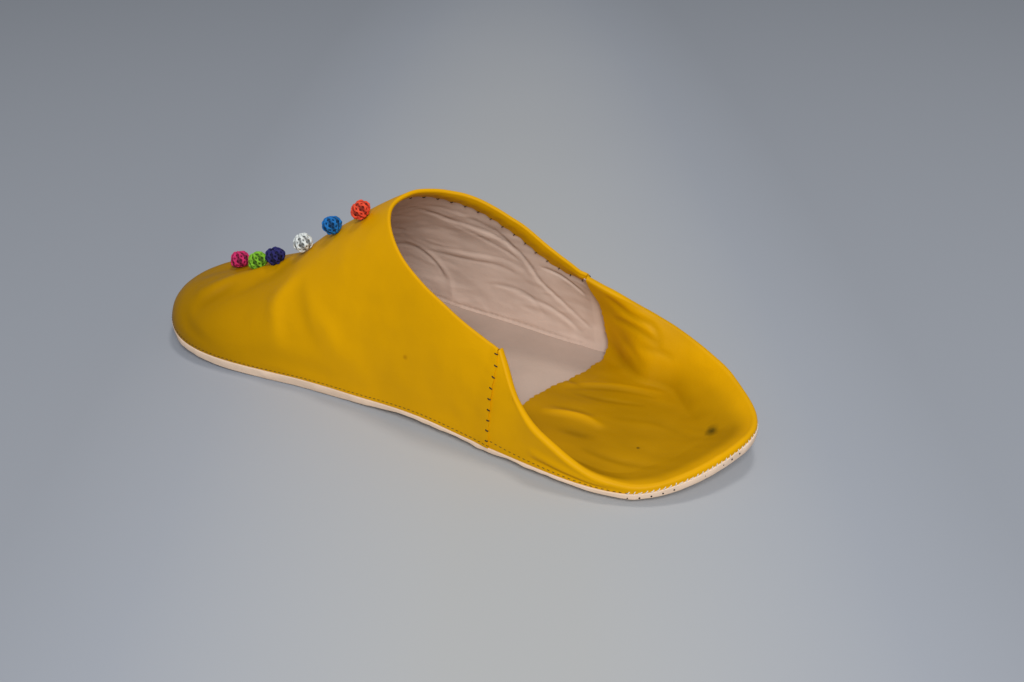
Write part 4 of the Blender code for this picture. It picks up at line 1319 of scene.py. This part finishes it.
def new_tree(name, sizes):
    """Geometry nodes with a line, sizes, a seed and a material for inputs, and those inputs."""
    tree = bpy.data.node_groups.new(name, "GeometryNodeTree")
    face = tree.interface
    face.new_socket("Line", in_out="INPUT", socket_type="NodeSocketGeometry")
    for size, default in sizes:
        face.new_socket(size, in_out="INPUT", socket_type="NodeSocketFloat").default_value = default
    face.new_socket("Seed", in_out="INPUT", socket_type="NodeSocketInt")
    face.new_socket("Material", in_out="INPUT", socket_type="NodeSocketMaterial")
    face.new_socket("Sewing", in_out="OUTPUT", socket_type="NodeSocketGeometry")
    return tree, tree.nodes.new("NodeGroupInput").outputs


def places_along(tree, given):
    """Points of the line at its spacing."""
    curve = add(tree, "GeometryNodeMeshToCurve", {"Mesh": given["Line"]}).outputs[0]
    spaced = {"Curve": curve, "Length": given["Spacing"]}
    return add(tree, "GeometryNodeResampleCurve", spaced, mode="LENGTH").outputs[0]


def way(tree, name):
    """Direction that the line's points know by a name."""
    return add(tree, "GeometryNodeInputNamedAttribute", {"Name": name},
               data_type="FLOAT_VECTOR").outputs[0]


def between(tree, low, high, seed):
    """Random number of each point."""
    return add(tree, "FunctionNodeRandomValue", {2: low, 3: high, 8: seed},
               data_type="FLOAT").outputs[1]


def set_along(tree, given, **instances):
    """End of the nodes: real pieces at the line's points, with their material."""
    placed = add(tree, "GeometryNodeInstanceOnPoints",
                 {"Points": places_along(tree, given), **instances})
    real = add(tree, "GeometryNodeRealizeInstances", {"Geometry": placed.outputs[0]}).outputs[0]
    painted = add(tree, "GeometryNodeSetMaterial", {"Geometry": real, "Material": given["Material"]})
    give(tree, tree.nodes.new("NodeGroupOutput").inputs["Sewing"], painted.outputs[0])
    return tree


def stitch_tree():
    """Geometry nodes that sew stitches along a line whose points know the ways across and out."""
    tree, given = new_tree("sewn_stitches", (
        ("Spacing", 0.004), ("Length", 0.002), ("Thread radius", 0.00018), ("Lift", 0.0003),
        ("Unevenness", 0.2), ("Slant", 0.0)))
    half = maths(tree, "MULTIPLY", given["Length"], 0.5)
    back = maths(tree, "MULTIPLY", half, -1.0)
    low = maths(tree, "MULTIPLY", given["Thread radius"], -STITCH_SINK)
    ends = [add(tree, "ShaderNodeCombineXYZ", {"X": x, "Z": z}).outputs[0]
            for x, z in ((back, low), (0.0, given["Lift"]), (half, low))]
    arc = add(tree, "GeometryNodeCurveQuadraticBezier",
              {"Resolution": 6, "Start": ends[0], "Middle": ends[1], "End": ends[2]}).outputs[0]
    ring = add(tree, "GeometryNodeCurvePrimitiveCircle",
               {"Resolution": 6, "Radius": given["Thread radius"]}).outputs["Curve"]
    thread = add(tree, "GeometryNodeCurveToMesh",
                 {"Curve": arc, "Profile Curve": ring, "Fill Caps": True}).outputs[0]
    stitch = add(tree, "GeometryNodeSetShadeSmooth", {"Geometry": thread}).outputs[0]
    turned = add(tree, "FunctionNodeAlignRotationToVector",
                 {"Vector": way(tree, "facing")}, axis="Z").outputs[0]
    turned = add(tree, "FunctionNodeAlignRotationToVector",
                 {"Rotation": turned, "Vector": way(tree, "across")},
                 axis="X", pivot_axis="Z").outputs[0]
    least = maths(tree, "MULTIPLY", given["Unevenness"], -1.0)
    swing = between(tree, least, given["Unevenness"], given["Seed"])
    angle = maths(tree, "ADD", swing, given["Slant"])
    twist = add(tree, "FunctionNodeAxisAngleToRotation",
                {"Axis": (0.0, 0.0, 1.0), "Angle": angle}).outputs[0]
    turned = add(tree, "FunctionNodeRotateRotation", {"Rotation": turned, "Rotate By": twist},
                 rotation_space="LOCAL").outputs[0]
    return set_along(tree, given, Instance=stitch, Rotation=turned)


def hole_tree():
    """Geometry nodes that set needle holes along a line."""
    tree, given = new_tree("needle_holes", (
        ("Spacing", 0.004), ("Radius", 0.0003), ("Unevenness", 0.3)))
    ball = add(tree, "GeometryNodeMeshUVSphere",
               {"Segments": 8, "Rings": 5, "Radius": given["Radius"]}).outputs["Mesh"]
    flat = add(tree, "GeometryNodeTransform",
               {"Geometry": ball, "Scale": (1.0, 1.0, HOLE_DEPTH)}).outputs[0]
    turned = add(tree, "FunctionNodeAlignRotationToVector",
                 {"Vector": way(tree, "facing")}, axis="Z").outputs[0]
    low = maths(tree, "SUBTRACT", 1.0, given["Unevenness"])
    high = maths(tree, "ADD", 1.0, given["Unevenness"])
    size = between(tree, low, high, given["Seed"])
    return set_along(tree, given, Instance=flat, Rotation=turned, Scale=size)


def along_line(name, tree, lines, values):
    """Plain mesh of what a tree sets along lines of (points, ways across, ways out)."""
    data = bpy.data.meshes.new(name + "_line")
    points, edges, across, facing = [], [], [], []
    for line, ways, outs in lines:
        first = len(points)
        points += in_world(line).tolist()
        edges += [(first + i, first + i + 1) for i in range(len(line) - 1)]
        across += list(ways)
        facing += list(outs)
    data.from_pydata(points, edges, [])
    for key, vectors in (("across", across), ("facing", facing)):
        layer = data.attributes.new(key, "FLOAT_VECTOR", "POINT")
        layer.data.foreach_set("vector", np.array(vectors, np.float32).ravel())
    guide = bpy.data.objects.new(name + "_line", data)
    bpy.context.scene.collection.objects.link(guide)
    maker = guide.modifiers.new("sewing", "NODES")
    maker.node_group = tree
    sockets = {item.name: item.identifier for item in tree.interface.items_tree
               if item.in_out == "INPUT"}
    for key, value in values.items():
        maker[sockets[key]] = value
    ready = guide.evaluated_get(bpy.context.evaluated_depsgraph_get())
    made = bpy.data.meshes.new_from_object(ready)
    if not made.polygons:
        raise RuntimeError(f"no {name} were made")
    made.name = name
    for key in ("across", "facing"):
        if key in made.attributes:
            made.attributes.remove(made.attributes[key])
    piece = bpy.data.objects.new(name, made)
    bpy.context.scene.collection.objects.link(piece)
    guide.modifiers.clear()
    bpy.data.objects.remove(guide)
    return settle(piece)


def collar_line(sizes, threads):
    """Line just past the edge of the leather that is turned in along the collar."""
    face, _ = vamp_face(sizes)
    normals = grid_normals(face)
    widths_back = collar_widths(face, sizes, threads)
    strip, facing = strip_rows(face, normals, widths_back, COLLAR_STRIP_ROWS)
    line = strip[:, -1] - facing[:, -1] * (sizes.lining + TURNED_EDGE)
    ways = unit(strip[:, -1] - strip[:, -2])
    free = slice(COLLAR_STITCHES_FROM, -COLLAR_STITCHES_FROM)
    return line[free], ways[free], -facing[free, -1]


def seam_lines(sizes):
    """Lines down the two rear edges of the vamp."""
    face, _ = vamp_face(sizes)
    normals = grid_normals(face)
    lines = []
    for end, step in ((0, 1), (-1, -1)):
        edge, inside = face[end], face[end + SEAM_WAY_ROUNDS * step]
        away = unit(edge - inside)
        line = edge - away * SEAM_STITCH_INSET
        lines.append([rows[SEAM_STITCH_ROWS] for rows in (line, away, normals[end + step])])
    return lines


def foot_line(sheet, normals, raise_by):
    """Line round a sheet's foot, with the stitches running along it."""
    line = sheet[:, SOLE_STITCH_ROW] + normals[:, SOLE_STITCH_ROW] * raise_by
    return line, unit(np.gradient(line, axis=0)), normals[:, SOLE_STITCH_ROW]


def sewing(threads, stitch, spacing, material, **more):
    """Inputs of the stitches' nodes for one line of sewing."""
    length, lift, thickness = stitch
    return {"Spacing": spacing, "Length": length, "Lift": lift, "Seed": threads.seed,
            "Thread radius": threads.stitch_radius * thickness, "Material": material, **more}


def build_stitches(sizes, threads):
    """Every line of sewing on the slipper."""
    tree = stitch_tree()
    dark = thread_material("dark_thread", threads.dark)
    pale = thread_material("pale_thread", threads.pale)
    along_line("collar_stitches", tree, [collar_line(sizes, threads)],
               sewing(threads, COLLAR_STITCH, threads.collar_spacing, dark))
    along_line("seam_stitches", tree, seam_lines(sizes),
               sewing(threads, SEAM_STITCH, threads.seam_spacing, dark))
    face, _ = vamp_face(sizes)
    along_line("vamp_sole_stitches", tree, [foot_line(face, grid_normals(face), 0.0)],
               sewing(threads, VAMP_SOLE_STITCH, threads.sole_spacing, dark))
    middle, normals, _ = quarter_faces(sizes)
    foot = foot_line(middle, normals, QUARTER_WALL / 2)
    heel = foot[0][:, 0] < HEEL_SEWN_TO
    along_line("heel_stitches", tree, [[rows[heel] for rows in foot]],
               sewing(threads, HEEL_STITCH, threads.sole_spacing, pale, Slant=HEEL_SLANT,
                      Unevenness=HEEL_UNEVENNESS))
    for name, part in (("inner", foot[0][:, 1] > 0), ("outer", foot[0][:, 1] < 0)):
        rest = [rows[~heel & part] for rows in foot]
        along_line("quarter_sole_stitches_" + name, tree, [rest],
                   sewing(threads, QUARTER_SOLE_STITCH, threads.sole_spacing, dark))


def build_holes(threads):
    """Needle holes in the sole's edge round the heel."""
    reach = outline_share(HEEL_SEWN_TO, outer=False)
    foot, inward = feather(np.linspace(-reach, reach, HOLE_LINE_POINTS))
    plan = foot - inward * SOLE_PROUD
    line = np.column_stack([plan, ground(plan[:, 0]) + EDGE_HEIGHT * HOLE_LEVEL])
    outs = np.column_stack([-inward, np.zeros(len(inward))])
    # The holes are dark discs in the sewing thread's colour, painted shadow inside the holes
    along_line("sole_needle_holes", hole_tree(), [(line, outs, outs)],
               {"Spacing": 2 * threads.sole_spacing, "Radius": HOLE_RADIUS,
                "Unevenness": HOLE_UNEVENNESS, "Seed": threads.seed,
                "Material": thread_material("hole_shadow", threads.dark)})


def tube(line, radius, sides):
    """Points and faces of a thread along a closed line."""
    ahead = unit(np.roll(line, -1, axis=0) - np.roll(line, 1, axis=0))
    out = unit(line - line.mean(0))
    side = unit(np.cross(ahead, out))
    out = np.cross(side, ahead)
    angles = np.linspace(0, 2 * math.pi, sides, endpoint=False)[None, :, None]
    ring = np.cos(angles) * out[:, None] + np.sin(angles) * side[:, None]
    points = line[:, None] + radius * ring
    index = np.arange(len(line) * sides).reshape(len(line), sides)
    after = np.roll(index, -1, axis=0)
    corners = (index, np.roll(index, -1, axis=1), np.roll(after, -1, axis=1), after)
    return points.reshape(-1, 3), np.stack([corner.ravel() for corner in corners], 1)


def build_knot(name, station, side, slot, number, threads):
    """Button of two strands plaited over and under round a ball of thread."""
    half = threads.knot_width / 2
    radius = half - KNOT_INSET * threads.strand_radius
    t = np.linspace(0, 2 * math.pi, KNOT_STEPS, endpoint=False)
    parts, faces, shades, first = [], [], [], 0
    for strand in range(KNOT_STRANDS):
        turn = t * KNOT_LEADS + strand * 2 * math.pi / KNOT_STRANDS / KNOT_BIGHTS
        lift = KNOT_REACH * np.sin(t * KNOT_BIGHTS)
        over = np.cos(t * KNOT_BIGHTS * KNOT_LEADS + strand * math.pi)
        weave = radius * (1 + KNOT_WEAVE * over)
        line = np.column_stack([weave * np.cos(lift) * np.cos(turn),
                                weave * np.cos(lift) * np.sin(turn), weave * np.sin(lift)])
        points, quads = tube(line, threads.strand_radius, KNOT_SIDES)
        parts.append(points)
        # Painted shade and highlight: each strand darker where it dips under and lighter where it
        # lies over
        shades.append(np.repeat(over, KNOT_SIDES))
        faces += (quads + first).tolist()
        first += len(points)
    core = bmesh.new()
    bmesh.ops.create_icosphere(core, subdivisions=4, radius=radius * KNOT_CORE)
    core.verts.ensure_lookup_table()
    parts.append(np.array([v.co for v in core.verts]))
    # The ball of thread in the middle is painted in full shade
    shades.append(np.full(len(core.verts), -1.0))
    faces += [[v.index + first for v in f.verts] for f in core.faces]
    core.free()
    points = np.vstack(parts)
    lump = 1 + KNOT_LUMPS * mottle(points, KNOT_LUMP_SIZE * half, KNOT_SEED + number)
    points = points * lump[:, None] * np.array([1.0, 1.0, KNOT_FLATNESS])
    step = threads.knot_width * KNOT_SLOPE_SHARE
    slope_x = (dome(station + step, side) - dome(station - step, side)) / (2 * step)
    slope_y = (dome(station, side + step) - dome(station, side - step)) / (2 * step)
    normal = Vector((-slope_x, -slope_y, 1.0)).normalized()
    turn = normal.to_track_quat("Z", "Y").to_matrix()
    turn = turn @ Matrix.Rotation(number * KNOT_TURN, 3, "Z") @ Matrix.Rotation(KNOT_TILT, 3, "X")
    seat = Vector((station, side, float(dome(station, side))))
    centre = seat + normal * (half * KNOT_FLATNESS + KNOT_SEAT)
    points = points @ np.array(turn).T + np.array(centre)
    material = thread_material(slot, THREAD_COLOURS[slot])
    return new_piece("knot_" + name[-1], points, faces, material, (name,),
                     np.concatenate(shades))


def build_knots(threads):
    """The six thread knots along the middle of the vamp."""
    for number, (name, share, side, slot) in enumerate(KNOTS):
        station = THROAT_AT + share * (LENGTH - THROAT_AT)
        build_knot(name, station, side * BALL_WIDTH / 2, slot, number, threads)


def area_light(name, place, target, size, energy, colour):
    """Soft light aimed at a place."""
    data = bpy.data.lights.new(name, "AREA")
    data.shape, data.size, data.energy, data.color = "DISK", size, energy, colour
    made = bpy.data.objects.new(name, data)
    made.location = place
    made.rotation_euler = (Vector(target) - Vector(place)).to_track_quat("-Z", "Y").to_euler()
    bpy.context.scene.collection.objects.link(made)


class SlipperStudio(bpy.types.PropertyGroup):
    """Floor, lights and camera"""

    floor: FloatVectorProperty(
        name="Floor", description="Colour of the pale floor",
        default=(0.405, 0.418, 0.452), size=3, min=0, max=1, subtype="COLOR")
    sky: FloatVectorProperty(
        name="Room light", description="Colour of the light that the room gives from all round",
        default=(0.80, 0.89, 1.0), size=3, min=0, max=1, subtype="COLOR")
    sky_strength: FloatProperty(
        name="Room strength", description="Strength of the light from all round",
        default=0.26, min=0.0, max=5.0)
    key: FloatProperty(
        name="Key light", description="Power of the high light from behind the slipper in watts",
        default=7.0, min=0.0, max=200.0)
    fill: FloatProperty(
        name="Fill light", description="Power of the soft light from the camera's side in watts",
        default=24.0, min=0.0, max=200.0)
    camera_lens: FloatProperty(
        name="Lens", description="Focal length of the camera in millimetres",
        default=40.0, min=10.0, max=200.0)
    camera_distance: FloatProperty(
        name="Camera distance", description="Distance of the camera from the middle of its view",
        default=0.4257, min=0.1, max=5.0, subtype="DISTANCE", unit="LENGTH")
    camera_height: FloatProperty(
        name="Camera elevation", description="Angle of the camera above the horizon",
        default=math.radians(29.67), min=0.0, max=math.pi / 2, subtype="ANGLE", unit="ROTATION")
    camera_turn: FloatProperty(
        name="Camera turn", description="Angle of the camera from the inner side towards the heel",
        default=math.radians(26.96), min=-math.pi, max=math.pi, subtype="ANGLE", unit="ROTATION")


def floor_paper(colour):
    """Pale paper, brighter and warmer in the pool of light across it."""
    material, tree, shader, place = new_material("floor_paper")
    patches = noise_over(tree, place, PATCH_SCALE, 3.0)
    paper = blend(tree, span(tree, patches, PATCH_FROM, PATCH_TO, 0.0, 1.0),
                  shade_of(colour, PATCH_SHADE), shade_of(colour, PATCH_TINT))
    away = far_from(tree, place, POOL_PLACE, POOL_SIZE, POOL_TURN)
    outside = span(tree, away, POOL_EDGE_FROM, POOL_EDGE_TO, 0.0, 1.0)
    paper = blend(tree, outside, paper, shade_of(colour, POOL_EDGE))
    warm = (*(c * warmth for c, warmth in zip(colour, POOL_WARMTH)), 1.0)
    inside = span(tree, away, POOL_WARM_FROM, POOL_WARM_TO, 0.0, POOL_WARM_MOST)
    paper = blend(tree, inside, paper, warm)
    give(tree, shader.inputs["Base Color"], paper)
    shader.inputs["Roughness"].default_value = 0.9
    shader.inputs["Specular IOR Level"].default_value = 0.1
    return material


def build_camera(scene, studio):
    """Camera at the photograph's angle."""
    turn, height = studio.camera_turn, studio.camera_height
    back = Vector((-math.sin(turn) * math.cos(height), math.cos(turn) * math.cos(height),
                   math.sin(height)))
    data = bpy.data.cameras.new("camera")
    data.lens, data.sensor_width = studio.camera_lens, SENSOR_WIDTH
    data.clip_start, data.clip_end = CLIP_START, CLIP_END
    camera = bpy.data.objects.new("camera", data)
    camera.location = Vector(CAMERA_TARGET) + back * studio.camera_distance
    camera.rotation_euler = (-back).to_track_quat("-Z", "Y").to_euler()
    scene.collection.objects.link(camera)
    scene.camera = camera


def build_stage(studio):
    """Pale floor, soft light and the camera."""
    scene = bpy.context.scene
    data = bpy.data.meshes.new("floor")
    corners = [(x * FLOOR_REACH, y * FLOOR_REACH, 0) for x, y in ((-1, -1), (1, -1), (1, 1), (-1, 1))]
    data.from_pydata(corners, [], [(0, 1, 2, 3)])
    data.materials.append(floor_paper(studio.floor))
    floor = bpy.data.objects.new("floor", data)
    scene.collection.objects.link(floor)

    world = bpy.data.worlds.new("room")
    scene.world = world
    world.use_nodes = True
    sky = world.node_tree.nodes["Background"]
    sky.inputs["Color"].default_value = (*studio.sky, 1.0)
    sky.inputs["Strength"].default_value = studio.sky_strength

    build_camera(scene, studio)
    area_light("key", KEY_PLACE, KEY_AIM, KEY_SIZE, studio.key, KEY_COLOUR)
    area_light("fill", FILL_PLACE, FILL_AIM, FILL_SIZE, studio.fill, FILL_COLOUR)
    scene.view_settings.view_transform = "Standard"
    scene.view_settings.look = "None"


class SLIPPER_OT_stage(bpy.types.Operator):
    """Set up the pale floor, the soft light and the camera"""

    bl_idname = "slipper.stage"
    bl_label = "Studio"

    def execute(self, context):
        build_stage(context.scene.slipper_studio)
        return {"FINISHED"}


class SLIPPER_OT_sole(bpy.types.Operator):
    """Build the cream sole with its turned-up edge"""

    bl_idname = "slipper.sole"
    bl_label = "Sole"

    def execute(self, context):
        build_sole(context.scene.slipper_leather)
        return {"FINISHED"}


class SLIPPER_OT_insole(bpy.types.Operator):
    """Build the cream insole"""

    bl_idname = "slipper.insole"
    bl_label = "Insole"

    def execute(self, context):
        build_insole(context.scene.slipper_leather)
        return {"FINISHED"}


class SLIPPER_OT_vamp(bpy.types.Operator):
    """Build the yellow vamp with its edge turned in along the collar"""

    bl_idname = "slipper.vamp"
    bl_label = "Vamp"

    def execute(self, context):
        build_vamp(context.scene.slipper_leather, context.scene.slipper_thread)
        return {"FINISHED"}


class SLIPPER_OT_lining(bpy.types.Operator):
    """Build the wrinkled cream lining of the vamp"""

    bl_idname = "slipper.lining"
    bl_label = "Lining"

    def execute(self, context):
        build_lining(context.scene.slipper_leather)
        return {"FINISHED"}


class SLIPPER_OT_quarter(bpy.types.Operator):
    """Build the yellow heel quarter with its top folded in"""

    bl_idname = "slipper.quarter"
    bl_label = "Quarter"

    def execute(self, context):
        build_quarter(context.scene.slipper_leather)
        return {"FINISHED"}


class SLIPPER_OT_stitches(bpy.types.Operator):
    """Sew every seam of the slipper"""

    bl_idname = "slipper.stitches"
    bl_label = "Stitches"

    def execute(self, context):
        build_stitches(context.scene.slipper_leather, context.scene.slipper_thread)
        return {"FINISHED"}


class SLIPPER_OT_holes(bpy.types.Operator):
    """Prick the needle holes round the heel"""

    bl_idname = "slipper.holes"
    bl_label = "Needle holes"

    def execute(self, context):
        build_holes(context.scene.slipper_thread)
        return {"FINISHED"}


class SLIPPER_OT_knots(bpy.types.Operator):
    """Plait the six thread knots along the instep"""

    bl_idname = "slipper.knots"
    bl_label = "Thread knots"

    def execute(self, context):
        build_knots(context.scene.slipper_thread)
        return {"FINISHED"}


OPERATORS = (
    SLIPPER_OT_stage,
    SLIPPER_OT_sole,
    SLIPPER_OT_insole,
    SLIPPER_OT_vamp,
    SLIPPER_OT_lining,
    SLIPPER_OT_quarter,
    SLIPPER_OT_stitches,
    SLIPPER_OT_holes,
    SLIPPER_OT_knots,
)


class SLIPPER_PT_panel(bpy.types.Panel):
    """Settings and pieces of the slipper"""

    bl_label = "Slipper"
    bl_idname = "SLIPPER_PT_panel"
    bl_space_type = "VIEW_3D"
    bl_region_type = "UI"
    bl_category = "Slipper"

    def draw(self, context):
        layout = self.layout
        scene = context.scene
        for group in (scene.slipper_leather, scene.slipper_thread, scene.slipper_studio):
            box = layout.box()
            for name in group.__annotations__:
                box.prop(group, name)
        for kind in OPERATORS:
            layout.operator(kind.bl_idname)


CLASSES = (SlipperLeather, SlipperThread, SlipperStudio, *OPERATORS, SLIPPER_PT_panel)


def register():
    """Make the settings, operators and panel known to Blender."""
    for kind in CLASSES:
        bpy.utils.register_class(kind)
    bpy.types.Scene.slipper_leather = PointerProperty(type=SlipperLeather)
    bpy.types.Scene.slipper_thread = PointerProperty(type=SlipperThread)
    bpy.types.Scene.slipper_studio = PointerProperty(type=SlipperStudio)


def unregister():
    """Take the settings, operators and panel away again."""
    del bpy.types.Scene.slipper_studio
    del bpy.types.Scene.slipper_thread
    del bpy.types.Scene.slipper_leather
    for kind in reversed(CLASSES):
        bpy.utils.unregister_class(kind)


def main():
    register()
    bpy.ops.slipper.stage()
    bpy.ops.slipper.sole()
    bpy.ops.slipper.insole()
    bpy.ops.slipper.vamp()
    bpy.ops.slipper.lining()
    bpy.ops.slipper.quarter()
    bpy.ops.slipper.stitches()
    bpy.ops.slipper.holes()
    bpy.ops.slipper.knots()


if __name__ == "__main__":
    main()
